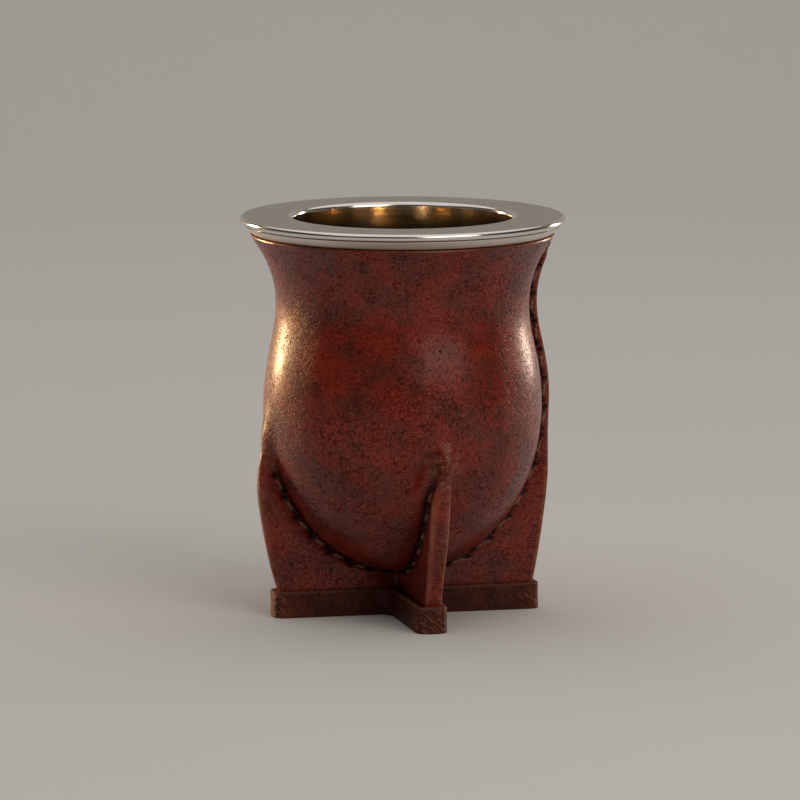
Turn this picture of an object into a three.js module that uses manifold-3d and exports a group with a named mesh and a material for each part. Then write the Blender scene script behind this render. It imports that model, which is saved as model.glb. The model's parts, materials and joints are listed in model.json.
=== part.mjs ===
// A mate gourd: a steel cup with a wide rim, in a leather cover that is pinched and stitched into four
// standing fins, with a leather band wrapped round the feet of the fins.
// Millimetres, +Z up, origin on the floor below the middle of the cup.
// The cover's one full-length seam and its fin lie along +X, the three pinched fins along +Y, -X and -Y.

import * as THREE from "three";
import { mergeVertices } from "three/addons/utils/BufferGeometryUtils.js";
import Module from "manifold-3d";

// Driving dimensions of the whole
const HEIGHT = 106; // floor to the flat top of the rim
const FIT_GAP = 0.3; // clearance between pieces that touch
const ROUND_STEPS = 48; // facets round a turned piece

// Steel cup and rim
const RIM_RADIUS = 43.1; // outermost edge
const RIM_BEAD_RADIUS = 0.95; // half the thickness of the rounded outer edge
const SKIRT_FOOT_RADIUS = 39.9; // lower end of the tapered skirt under the rim
const SKIRT_FILLET = 0.5; // hollow between the bead and the skirt
const RIM_DEPTH = 4.3; // rim's flat top to the skirt's foot
const MOUTH_RADIUS = 28.9; // bore of the cup
const LIP_RADIUS = 1.2; // rounding from the flat top into the bore
const CUP_WALL = 1.0;
const CUP_BOWL_TOP = 55; // the bore is straight above this height and a bowl below it
const CUP_BOWL_DEPTH = 38;

// Leather cover over the gourd
const COVER_TOP = HEIGHT - RIM_DEPTH - FIT_GAP;
const COVER_BOTTOM = 11.3; // lowest point of the gourd above the floor
const BELLY_RADIUS = 36.8;
const BELLY_HEIGHT = 55.4;
const WAIST_RADIUS = 33.4;
const WAIST_HEIGHT = 82.6;
const SHOULDER_FULLNESS = 1.25; // above 1 the belly stays full for longer below the waist
const COLLAR_RADIUS = 40.5; // the flare's radius at the cover's top edge

// Fins of the cover
const FIN_THICKNESS = 5.2; // a doubled fold of leather
const FIN_EDGE_ROUNDING = 2.0;
const FIN_FOOT = FIT_GAP; // the fins stop just clear of the floor, and the band carries them
const FIN_FOOT_REACH = 34; // from the axis to the fold inside the band
const FIN_REACH = 39.3; // greatest distance of the fold from the axis
const FIN_REACH_HEIGHT = 36.5;
const FIN_FLARE = 1.7; // how evenly the fold widens from its foot to its greatest reach
const FIN_TIP_HEIGHT = 51; // the pinched fold has run out into the belly here
const FIN_TIP_DRAW = 3.4; // how far the fold draws in between its greatest reach and its tip

// Full-length seam of the cover
const SEAM_THICKNESS = 4.0; // two cut layers side by side
const SEAM_FOOT_REACH = 35.2; // from the axis to the cut edge inside the band
const SEAM_FLARE = 1.3; // the seam's fin widens more evenly than the folds
const SEAM_EDGE_ROUNDING = 0.7;
const SEAM_PROUD = 2.8; // how far the seam stands out of the gourd
const SEAM_REJOIN_HEIGHT = 57; // above this the seam follows the gourd
const SEAM_TRIM_START = 94; // above this the seam is trimmed back towards the rim
const SEAM_TOP_PROUD = 0.8;

// Band round the feet
const BAND_HEIGHT = 7;
const BAND_THICKNESS = 1.2;
const BAND_SLACK = 0.6; // room between a fold's end and the band, none at the left fin and the seam
const BAND_TIP_ROUNDING = 2.4;
const BAND_CROTCH_ROUNDING = 1.6;

// Waxed thread along the foot of every fin
const THREAD_RADIUS = 0.5;
const THREAD_SIDES = 6;
const STITCH_LENGTH = 2.9;
const THREAD_TOP = 38.5; // the pinched fins are stitched below this height
const SEAM_THREAD_TOP = 99;
const THREAD_INNER_END = 6.2; // the thread stops this far from the axis, short of the next fin's thread

// Steps along curves
const OUTLINE_STEP = 3.2;
const ARC_STEPS = 4;
const BEAD_STEPS = 6;
const CUP_BOWL_STEPS = 9;
const GOURD_BOWL_STEPS = 12;
const FOLD_STEPS = 3;
const THREAD_ROUTE_STEPS = 60;
const SLOPE_REACH = 0.5; // half the height over which the gourd's slope is read
const MERGE_TOLERANCE = 1e-4;

const materials = {
  steel: new THREE.MeshStandardMaterial({ color: 0xc9c2b6, roughness: 0.22, metalness: 1 }),
  leather: new THREE.MeshStandardMaterial({ color: 0x54201a, roughness: 0.55, metalness: 0 }),
  band: new THREE.MeshStandardMaterial({ color: 0x4a2219, roughness: 0.65, metalness: 0 }),
  thread: new THREE.MeshStandardMaterial({ color: 0x17110e, roughness: 0.7, metalness: 0 }),
};

const manifold = await Module();
manifold.setup();

/** A closed geometry as a solid that can be joined and cut. */
function solidOf(geometry) {
  const bare = geometry.clone();
  bare.deleteAttribute("normal");
  bare.deleteAttribute("uv");
  const merged = mergeVertices(bare, MERGE_TOLERANCE);
  const mesh = new manifold.Mesh({
    numProp: 3,
    vertProperties: merged.attributes.position.array,
    triVerts: new Uint32Array(merged.index.array),
  });
  return new manifold.Manifold(mesh);
}

/** A solid back as a geometry for a mesh. */
function geometryOf(solid) {
  const { vertProperties, triVerts } = solid.getMesh();
  const geometry = new THREE.BufferGeometry();
  geometry.setAttribute("position", new THREE.BufferAttribute(vertProperties, 3));
  geometry.setIndex(new THREE.BufferAttribute(triVerts, 1));
  geometry.computeVertexNormals();
  return geometry;
}

/** A profile of (radius, height) points turned round the Z axis. */
function turned(profile) {
  return new THREE.LatheGeometry(profile, ROUND_STEPS).rotateX(Math.PI / 2);
}

/** Evenly spaced numbers from start to end, about step apart, both ends included. */
function stations(start, end, step = OUTLINE_STEP) {
  const count = Math.max(1, Math.round(Math.abs(end - start) / step));
  return Array.from({ length: count + 1 }, (_, i) => THREE.MathUtils.lerp(start, end, i / count));
}

/** Points of an elliptical arc in the (radius, height) plane, angles in degrees. */
function arc(centreRadius, centreHeight, reach, rise, from, to, steps = ARC_STEPS) {
  return stations(from, to, Math.abs(to - from) / steps).map((degrees) => {
    const angle = THREE.MathUtils.degToRad(degrees);
    return new THREE.Vector2(centreRadius + reach * Math.cos(angle), centreHeight + rise * Math.sin(angle));
  });
}

/** Radius of the leather-covered gourd at a height: bowl, then shoulder to the waist, then flare. */
function gourdRadius(height) {
  if (height <= BELLY_HEIGHT) {
    const drop = (BELLY_HEIGHT - height) / (BELLY_HEIGHT - COVER_BOTTOM);
    return BELLY_RADIUS * Math.sqrt(Math.max(0, 1 - drop * drop));
  }
  if (height <= WAIST_HEIGHT) {
    const climb = (height - BELLY_HEIGHT) / (WAIST_HEIGHT - BELLY_HEIGHT);
    const turn = Math.PI * Math.pow(climb, SHOULDER_FULLNESS);
    return THREE.MathUtils.lerp(BELLY_RADIUS, WAIST_RADIUS, (1 - Math.cos(turn)) / 2);
  }
  const climb = (height - WAIST_HEIGHT) / (COVER_TOP - WAIST_HEIGHT);
  return WAIST_RADIUS + (COLLAR_RADIUS - WAIST_RADIUS) * climb * climb;
}

/** Steel cup in one piece: rim with a rounded edge, tapered skirt, lip, straight bore and round bowl. */
function steelCup() {
  const skirtFoot = HEIGHT - RIM_DEPTH;
  const beadCentre = new THREE.Vector2(RIM_RADIUS - RIM_BEAD_RADIUS, HEIGHT - RIM_BEAD_RADIUS);
  const shell = MOUTH_RADIUS + CUP_WALL;
  const lipCentre = MOUTH_RADIUS + LIP_RADIUS;
  const underRim = new THREE.Vector2(shell, skirtFoot);
  const skirtEnd = new THREE.Vector2(SKIRT_FOOT_RADIUS, skirtFoot);
  const beadBottom = HEIGHT - 2 * RIM_BEAD_RADIUS;
  const skirtStart = new THREE.Vector2(beadCentre.x - SKIRT_FILLET / 2, beadBottom - SKIRT_FILLET);
  const profile = [
    ...arc(0, CUP_BOWL_TOP, shell, CUP_BOWL_DEPTH + CUP_WALL, -90, 0, CUP_BOWL_STEPS),
    underRim,
    skirtEnd,
    skirtStart,
    ...arc(beadCentre.x, beadCentre.y, RIM_BEAD_RADIUS, RIM_BEAD_RADIUS, -80, 90, BEAD_STEPS),
    ...arc(lipCentre, HEIGHT - LIP_RADIUS, LIP_RADIUS, LIP_RADIUS, 90, 180),
    ...arc(0, CUP_BOWL_TOP, MOUTH_RADIUS, CUP_BOWL_DEPTH, 0, -90, CUP_BOWL_STEPS),
  ];
  profile[0].x = 0;
  profile.at(-1).x = 0;
  return turned(profile);
}

/** Solid gourd shape of the cover, before its fins are added and its inside is cut. */
function gourdBody() {
  const depth = BELLY_HEIGHT - COVER_BOTTOM;
  const bowl = arc(0, BELLY_HEIGHT, BELLY_RADIUS, depth, -90, 0, GOURD_BOWL_STEPS);
  bowl[0].x = 0;
  const neck = stations(BELLY_HEIGHT, COVER_TOP).slice(1);
  const upper = neck.map((height) => new THREE.Vector2(gourdRadius(height), height));
  return turned([...bowl, ...upper, new THREE.Vector2(0, COVER_TOP)]);
}

/** Room inside the cover for the steel cup. */
function cupRoom() {
  const radius = MOUTH_RADIUS + CUP_WALL + FIT_GAP;
  const aboveTop = HEIGHT;
  const depth = CUP_BOWL_DEPTH + CUP_WALL + FIT_GAP;
  const bowl = arc(0, CUP_BOWL_TOP, radius, depth, -90, 0, CUP_BOWL_STEPS);
  bowl[0].x = 0;
  return turned([...bowl, new THREE.Vector2(radius, aboveTop), new THREE.Vector2(0, aboveTop)]);
}

/** Distance of a fin's edge from the axis below its greatest reach. */
function flaredReach(height, footReach, flare) {
  const drop = (FIN_REACH_HEIGHT - height) / (FIN_REACH_HEIGHT - BAND_HEIGHT);
  return FIN_REACH - (FIN_REACH - footReach) * Math.pow(Math.min(drop, 1), flare);
}

/** Distance of a pinched fin's folded edge from the axis. */
function foldReach(height) {
  if (height <= FIN_REACH_HEIGHT) return flaredReach(height, FIN_FOOT_REACH, FIN_FLARE);
  const climb = (height - FIN_REACH_HEIGHT) / (FIN_TIP_HEIGHT - FIN_REACH_HEIGHT);
  return FIN_REACH - FIN_TIP_DRAW * climb * climb;
}

/** Distance of the full-length seam's cut edge from the axis. */
function seamReach(height) {
  if (height <= FIN_REACH_HEIGHT) return flaredReach(height, SEAM_FOOT_REACH, SEAM_FLARE);
  if (height <= SEAM_REJOIN_HEIGHT) {
    const rejoined = gourdRadius(SEAM_REJOIN_HEIGHT) + SEAM_PROUD;
    const climb = (height - FIN_REACH_HEIGHT) / (SEAM_REJOIN_HEIGHT - FIN_REACH_HEIGHT);
    return THREE.MathUtils.lerp(FIN_REACH, rejoined, climb);
  }
  const trim = Math.max(0, (height - SEAM_TRIM_START) / (COVER_TOP - SEAM_TRIM_START));
  return gourdRadius(height) + THREE.MathUtils.lerp(SEAM_PROUD, SEAM_TOP_PROUD, trim);
}

/** Upright plate from the axis out to a given edge, in the plane of X and Z, with rounded edges. */
function finPlate(reachAt, topHeight, thickness, rounding) {
  const heights = stations(FIN_FOOT, topHeight);
  const pastAxis = -thickness / 2;
  const edge = heights.map((height) => new THREE.Vector2(reachAt(height), height));
  const outline = new THREE.Shape([
    new THREE.Vector2(pastAxis, FIN_FOOT),
    ...edge,
    new THREE.Vector2(pastAxis, topHeight),
  ]);
  const plate = new THREE.ExtrudeGeometry(outline, {
    depth: thickness - 2 * rounding,
    bevelThickness: rounding,
    bevelSize: rounding,
    bevelOffset: -rounding,
    bevelSegments: FOLD_STEPS,
  });
  return plate.translate(0, 0, rounding - thickness / 2).rotateX(Math.PI / 2);
}

/** Leather cover: the gourd with its three pinched fins and its seam, hollowed for the cup. */
function leatherCover() {
  let cover = solidOf(gourdBody());
  for (const quarterTurns of [1, 2, 3]) {
    const fin = finPlate(foldReach, FIN_TIP_HEIGHT, FIN_THICKNESS, FIN_EDGE_ROUNDING);
    cover = cover.add(solidOf(fin.rotateZ((quarterTurns * Math.PI) / 2)));
  }
  cover = cover.add(solidOf(finPlate(seamReach, COVER_TOP, SEAM_THICKNESS, SEAM_EDGE_ROUNDING)));
  return geometryOf(cover.subtract(solidOf(cupRoom())));
}

/** Cross-shaped closed outline with an arm of each given span, rounded at its ends and inner corners. */
function crossOutline(spans, halfWidth, tipRounding, crotchRounding) {
  const outline = new THREE.Path();
  const quarter = Math.PI / 2;
  spans.forEach((span, arm) => {
    const turn = arm * quarter;
    const place = (along, across) => [
      along * Math.cos(turn) - across * Math.sin(turn),
      along * Math.sin(turn) + across * Math.cos(turn),
    ];
    const tip = span - tipRounding;
    const side = halfWidth - tipRounding;
    const crotch = halfWidth + crotchRounding;
    outline.absarc(...place(tip, -side), tipRounding, turn - quarter, turn, false);
    outline.absarc(...place(tip, side), tipRounding, turn, turn + quarter, false);
    outline.absarc(...place(crotch, crotch), crotchRounding, turn - quarter, turn - 2 * quarter, true);
  });
  return outline.getPoints(ARC_STEPS);
}

/** Leather band wrapped round the feet of the four fins. */
function footBand() {
  const innerHalfWidth = FIN_THICKNESS / 2 + FIT_GAP;
  const tight = FIN_FOOT_REACH + FIT_GAP;
  const innerSpans = [SEAM_FOOT_REACH + FIT_GAP, tight + BAND_SLACK, tight, tight + BAND_SLACK];
  const outer = crossOutline(
    innerSpans.map((span) => span + BAND_THICKNESS),
    innerHalfWidth + BAND_THICKNESS,
    BAND_TIP_ROUNDING,
    BAND_CROTCH_ROUNDING,
  );
  const inner = crossOutline(
    innerSpans,
    innerHalfWidth,
    BAND_TIP_ROUNDING - BAND_THICKNESS,
    BAND_CROTCH_ROUNDING + BAND_THICKNESS,
  );
  const strip = new THREE.Shape(outer);
  strip.holes.push(new THREE.Path(inner));
  return new THREE.ExtrudeGeometry(strip, { depth: BAND_HEIGHT, bevelEnabled: false });
}

/** Thread in the angle between the gourd and one face of a fin, on side 1 or -1 of the plane of X and Z. */
function threadRun(topHeight, thickness, side) {
  const clear = THREAD_RADIUS + FIT_GAP;
  const across = thickness / 2 + clear;
  const route = [];
  for (const height of stations(COVER_BOTTOM, topHeight, (topHeight - COVER_BOTTOM) / THREAD_ROUTE_STEPS)) {
    const slope = gourdRadius(height + SLOPE_REACH) - gourdRadius(height - SLOPE_REACH);
    const lean = Math.hypot(2 * SLOPE_REACH, slope);
    const radius = gourdRadius(height) + (clear * 2 * SLOPE_REACH) / lean;
    const along = Math.sqrt(Math.max(0, radius * radius - across * across));
    route.push(new THREE.Vector3(along, side * across, height - (clear * slope) / lean));
  }
  const kept = route.filter((point) => point.x >= THREAD_INNER_END);
  const curve = new THREE.CatmullRomCurve3(kept);
  const steps = Math.round(curve.getLength() / STITCH_LENGTH);
  const round = new THREE.EllipseCurve(0, 0, THREAD_RADIUS, THREAD_RADIUS);
  const section = new THREE.Shape(round.getPoints(THREAD_SIDES));
  return new THREE.ExtrudeGeometry(section, { extrudePath: curve, steps, bevelEnabled: false });
}

/** A named mesh of one piece. */
function piece(name, geometry, material) {
  const mesh = new THREE.Mesh(geometry, material);
  mesh.name = name;
  return mesh;
}

const mate = new THREE.Group();
mate.add(piece("steel_cup", steelCup(), materials.steel));
mate.add(piece("leather_cover", leatherCover(), materials.leather));
mate.add(piece("foot_band", footBand(), materials.band));

const fins = [
  { name: "seam", top: SEAM_THREAD_TOP, thickness: SEAM_THICKNESS },
  { name: "back_fin", top: THREAD_TOP, thickness: FIN_THICKNESS },
  { name: "left_fin", top: THREAD_TOP, thickness: FIN_THICKNESS },
  { name: "front_fin", top: THREAD_TOP, thickness: FIN_THICKNESS },
];
fins.forEach((fin, quarterTurns) => {
  const turn = new THREE.Group();
  turn.rotation.z = (quarterTurns * Math.PI) / 2;
  for (const [sideName, side] of [["a", 1], ["b", -1]]) {
    const run = threadRun(fin.top, fin.thickness, side);
    turn.add(piece(`thread_${fin.name}_${sideName}`, run, materials.thread));
  }
  mate.add(turn);
});

export default mate;
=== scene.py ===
"""Looks of a leather-covered mate cup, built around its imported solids.

A steel cup with a wide rim sits in a leather cover that is pinched and stitched into four standing fins, and
a leather band is wrapped round the feet of the fins. The sizes of the pieces are in millimetres, and each
finished mesh is scaled to metres. Finishes, lights and the camera are in metres.
"""

import json
import logging
import math
from dataclasses import dataclass, field
from enum import Enum
from typing import ClassVar, Iterable

import bmesh
import bpy
import numpy as np
from mathutils import Matrix, Vector, kdtree, noise

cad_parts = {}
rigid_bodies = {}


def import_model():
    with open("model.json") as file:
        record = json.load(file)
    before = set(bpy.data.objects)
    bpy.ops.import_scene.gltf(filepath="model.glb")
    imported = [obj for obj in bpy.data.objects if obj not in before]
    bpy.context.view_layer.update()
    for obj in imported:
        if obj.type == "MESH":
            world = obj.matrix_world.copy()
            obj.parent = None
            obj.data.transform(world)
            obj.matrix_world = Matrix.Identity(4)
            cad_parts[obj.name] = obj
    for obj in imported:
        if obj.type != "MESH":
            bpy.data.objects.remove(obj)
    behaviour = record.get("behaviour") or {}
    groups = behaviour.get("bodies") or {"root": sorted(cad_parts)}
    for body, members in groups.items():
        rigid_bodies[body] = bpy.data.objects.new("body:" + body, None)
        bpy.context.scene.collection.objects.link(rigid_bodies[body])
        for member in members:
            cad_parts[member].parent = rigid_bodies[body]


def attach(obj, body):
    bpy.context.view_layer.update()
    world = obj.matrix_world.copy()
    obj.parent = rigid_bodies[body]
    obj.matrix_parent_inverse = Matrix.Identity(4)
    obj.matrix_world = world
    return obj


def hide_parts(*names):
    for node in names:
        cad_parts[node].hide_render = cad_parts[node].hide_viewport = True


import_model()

MM = 0.001  # metres in a millimetre
FULL_TURN = 2.0 * math.pi
LOG = logging.getLogger("mate_cup")

Array = np.ndarray
Colour = tuple[float, float, float, float]
Range = tuple[float, float]
Triple = tuple[float, float, float]
Socket = bpy.types.NodeSocket
Material = bpy.types.Material
Mesh = bpy.types.Mesh
BMesh = bmesh.types.BMesh


def smoothstep(value: Array | float, low: float, high: float) -> Array:
    """Ease from 0 at low to 1 at high."""
    share = np.clip((np.asarray(value, float) - low) / (high - low), 0.0, 1.0)
    return share * share * (3.0 - 2.0 * share)


def bell(value: Array, width: Array | float) -> Array:
    """Fall from 1 at zero towards 0, past about the given width."""
    return np.exp(-((value / width) ** 2))


def soft_union(first: Array, second: Array, width: Array | float) -> Array:
    """Join two distance fields with a fillet.

    Args:
        first: Distances to one form, negative inside it.
        second: Distances to the other form.
        width: How wide the fillet reaches, per point or for all.

    Returns:
        Distances to the joined form.
    """
    overlap = np.maximum(width - np.abs(first - second), 0.0) / width
    return np.minimum(first, second) - overlap * overlap * width / 4.0


def noise_at(points: Array, scale: float, seed: float = 0.0) -> Array:
    """Smooth noise from about -1 to 1 at each point.

    Args:
        points: Points in millimetres, one per row.
        scale: Size of a bump in millimetres.
        seed: Shift that makes one pattern differ from another.

    Returns:
        One number per point.
    """
    shifted = points / scale + seed
    return np.fromiter((noise.noise(point) for point in shifted), float, len(points))


def lengths_along(points: Array) -> Array:
    """Distance travelled along a line of points, at each point."""
    steps = np.linalg.norm(np.diff(points, axis=0), axis=1)
    return np.concatenate([[0.0], np.cumsum(steps)])


class FinSide(Enum):
    """The four fins, by their quarter turns from +X."""

    SEAM = 0
    BACK = 1
    LEFT = 2
    FRONT = 3

    @property
    def turn(self) -> float:
        """Angle from +X in radians."""
        return self.value * math.pi / 2.0

    @property
    def label(self) -> str:
        """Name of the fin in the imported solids."""
        return "seam" if self is FinSide.SEAM else f"{self.name.lower()}_fin"


class Slot(Enum):
    """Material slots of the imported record."""

    STEEL = "steel"
    COVER = "cover_leather"
    BAND = "band_leather"
    THREAD = "thread"


class Mark(Enum):
    """Painted masks that a mesh carries for its material."""

    # crease and hole carry painted shade; crown carries the thread's painted highlight; fold carries scuffing
    # and a painted highlight; strain carries a painted highlight and a bump
    CREASE = "crease"
    FOLD = "fold"
    RAW = "raw"
    HOLE = "hole"
    STRAIN = "strain"
    FLUSH = "flush"
    CROWN = "crown"


class Breakup(Enum):
    """How broken up a noise is: its detail and its roughness."""

    SMOOTH = (2.0, 0.5)
    LINED = (2.0, 0.6)
    UNEVEN = (3.0, 0.5)
    ROUGH = (3.0, 0.6)
    PATCHY = (4.0, 0.6)
    RAGGED = (4.0, 0.65)


class NodeBench:
    """Adds and links nodes in one shader tree."""

    def __init__(self, tree: bpy.types.NodeTree) -> None:
        """Keep the tree that nodes are added to."""
        self.tree = tree

    def add(self, kind: str, inputs: dict | None = None, **settings: object) -> bpy.types.Node:
        """Add a node, set its options and feed its inputs.

        Args:
            kind: Blender's type name without the leading ShaderNode.
            inputs: Socket name or number, to a value or to another node's output.
            settings: Options of the node.

        Returns:
            The new node.
        """
        made = self.tree.nodes.new("ShaderNode" + kind)
        for name, value in settings.items():
            setattr(made, name, value)
        for name, value in (inputs or {}).items():
            self.feed(made.inputs[name], value)
        return made

    def feed(self, socket: Socket, value: object) -> None:
        """Link an output into a socket, or set the socket's own value.

        Args:
            socket: The socket to be fed.
            value: An output, or a plain value.
        """
        if isinstance(value, Socket):
            self.tree.links.new(value, socket)
        else:
            socket.default_value = value

    def math(self, operation: str, first: object, second: object = 0.0) -> Socket:
        """One arithmetic step on two numbers or outputs."""
        return self.add("Math", {0: first, 1: second}, operation=operation).outputs[0]

    def times(self, first: object, second: object) -> Socket:
        """The product of two numbers or outputs."""
        return self.math("MULTIPLY", first, second)

    def plus(self, first: object, second: object) -> Socket:
        """The sum of two numbers or outputs."""
        return self.math("ADD", first, second)

    def most(self, *values: object) -> Socket:
        """The largest of several numbers or outputs.

        Args:
            values: The numbers or outputs.

        Returns:
            The largest one.
        """
        largest = values[0]
        for value in values[1:]:
            largest = self.math("MAXIMUM", largest, value)
        return largest

    def remap(self, value: object, span: Range, to: Range = (0.0, 1.0)) -> Socket:
        """Ease a value from one range into another, clamped at both ends."""
        inputs = dict(enumerate((value, *span, *to)))
        return self.add("MapRange", inputs, interpolation_type="SMOOTHSTEP").outputs[0]

    def blend(self, share: object, first: object, second: object, kind: str = "MIX") -> Socket:
        """Blend two colours by a share."""
        made = self.add("Mix", {0: share, 6: first, 7: second}, data_type="RGBA", blend_type=kind)
        return made.outputs[2]

    def stretch(self, place: object, by: Triple) -> Socket:
        """Multiply a place along each axis."""
        return self.add("VectorMath", {0: place, 1: by}, operation="MULTIPLY").outputs[0]

    def shift(self, place: object, by: object) -> Socket:
        """Move a place by a vector."""
        return self.add("VectorMath", {0: place, 1: by}, operation="ADD").outputs[0]

    def noise(self, place: object, scale: object, breakup: Breakup = Breakup.SMOOTH) -> bpy.types.Node:
        """A noise node, with its scale in cycles per metre.

        Args:
            place: Where the noise is read.
            scale: Cycles per metre.
            breakup: How broken up it is.

        Returns:
            The node.
        """
        detail, roughness = breakup.value
        inputs = {"Vector": place, "Scale": scale, "Detail": detail, "Roughness": roughness}
        return self.add("TexNoise", inputs)

    def cloud(self, place: object, scale: object, breakup: Breakup = Breakup.SMOOTH) -> Socket:
        """Noise as a number, with its scale in cycles per metre."""
        return self.noise(place, scale, breakup).outputs[0]

    def cracks(self, place: object, scale: object) -> Socket:
        """Distance to the edges of irregular cells."""
        inputs = {"Vector": place, "Scale": scale}
        return self.add("TexVoronoi", inputs, feature="DISTANCE_TO_EDGE").outputs["Distance"]

    def bump(self, height: object, depth: float, strength: float = 1.0) -> Socket:
        """A normal from a height, with its depth in metres."""
        inputs = {"Strength": strength, "Distance": depth, "Height": height}
        return self.add("Bump", inputs).outputs[0]

    def object_place(self) -> Socket:
        """Place on the piece, in metres."""
        return self.add("TexCoord").outputs["Object"]

    def mark(self, name: Mark) -> Socket:
        """A painted mask of the mesh."""
        return self.add("Attribute", attribute_name=name.value).outputs["Fac"]


class MaterialBench(NodeBench):
    """Adds nodes to a new material and feeds its shader."""

    def __init__(self, name: str) -> None:
        """Make the material with a plain shader.

        Args:
            name: Name of the material.
        """
        self.made = bpy.data.materials.new(name)
        self.made.use_nodes = True
        super().__init__(self.made.node_tree)

    def dress(self, inputs: dict[str, object]) -> Material:
        """Feed the shader.

        Args:
            inputs: Name of each shader socket, to a value or an output.

        Returns:
            The finished material.
        """
        shader = self.tree.nodes["Principled BSDF"]
        for name, value in inputs.items():
            self.feed(shader.inputs[name], value)
        return self.made


class NodeGroup:
    """A shader node group with named inputs and outputs, built once."""

    FLOAT: ClassVar[str] = "NodeSocketFloat"
    VECTOR: ClassVar[str] = "NodeSocketVector"

    def __init__(self, name: str, values: dict[str, float], outputs: Iterable[str]) -> None:
        """Make the empty group, with a Place input beside the given ones.

        Args:
            name: Name of the group.
            values: Name of each number that goes in, to its default.
            outputs: Names of the numbers that come out.
        """
        self.tree = bpy.data.node_groups.new(name, "ShaderNodeTree")
        sockets = self.tree.interface
        sockets.new_socket(name="Place", in_out="INPUT", socket_type=self.VECTOR)
        for label, value in values.items():
            socket = sockets.new_socket(name=label, in_out="INPUT", socket_type=self.FLOAT)
            socket.default_value = value
        for label in outputs:
            sockets.new_socket(name=label, in_out="OUTPUT", socket_type=self.FLOAT)
        self.bench = NodeBench(self.tree)
        self.given = self.tree.nodes.new("NodeGroupInput").outputs
        self.result = self.tree.nodes.new("NodeGroupOutput").inputs

    def give(self, label: str, value: Socket) -> None:
        """Link a value to a named output."""
        self.bench.feed(self.result[label], value)

    def place(self, bench: NodeBench, inputs: dict) -> bpy.types.NodeOutputs:
        """Place the group in a material.

        Args:
            bench: Bench of the material's tree.
            inputs: Input name to a value or output.

        Returns:
            The outputs of the group's node.
        """
        made = bench.tree.nodes.new("ShaderNodeGroup")
        made.node_tree = self.tree
        for name, value in inputs.items():
            bench.feed(made.inputs[name], value)
        return made.outputs


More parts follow.
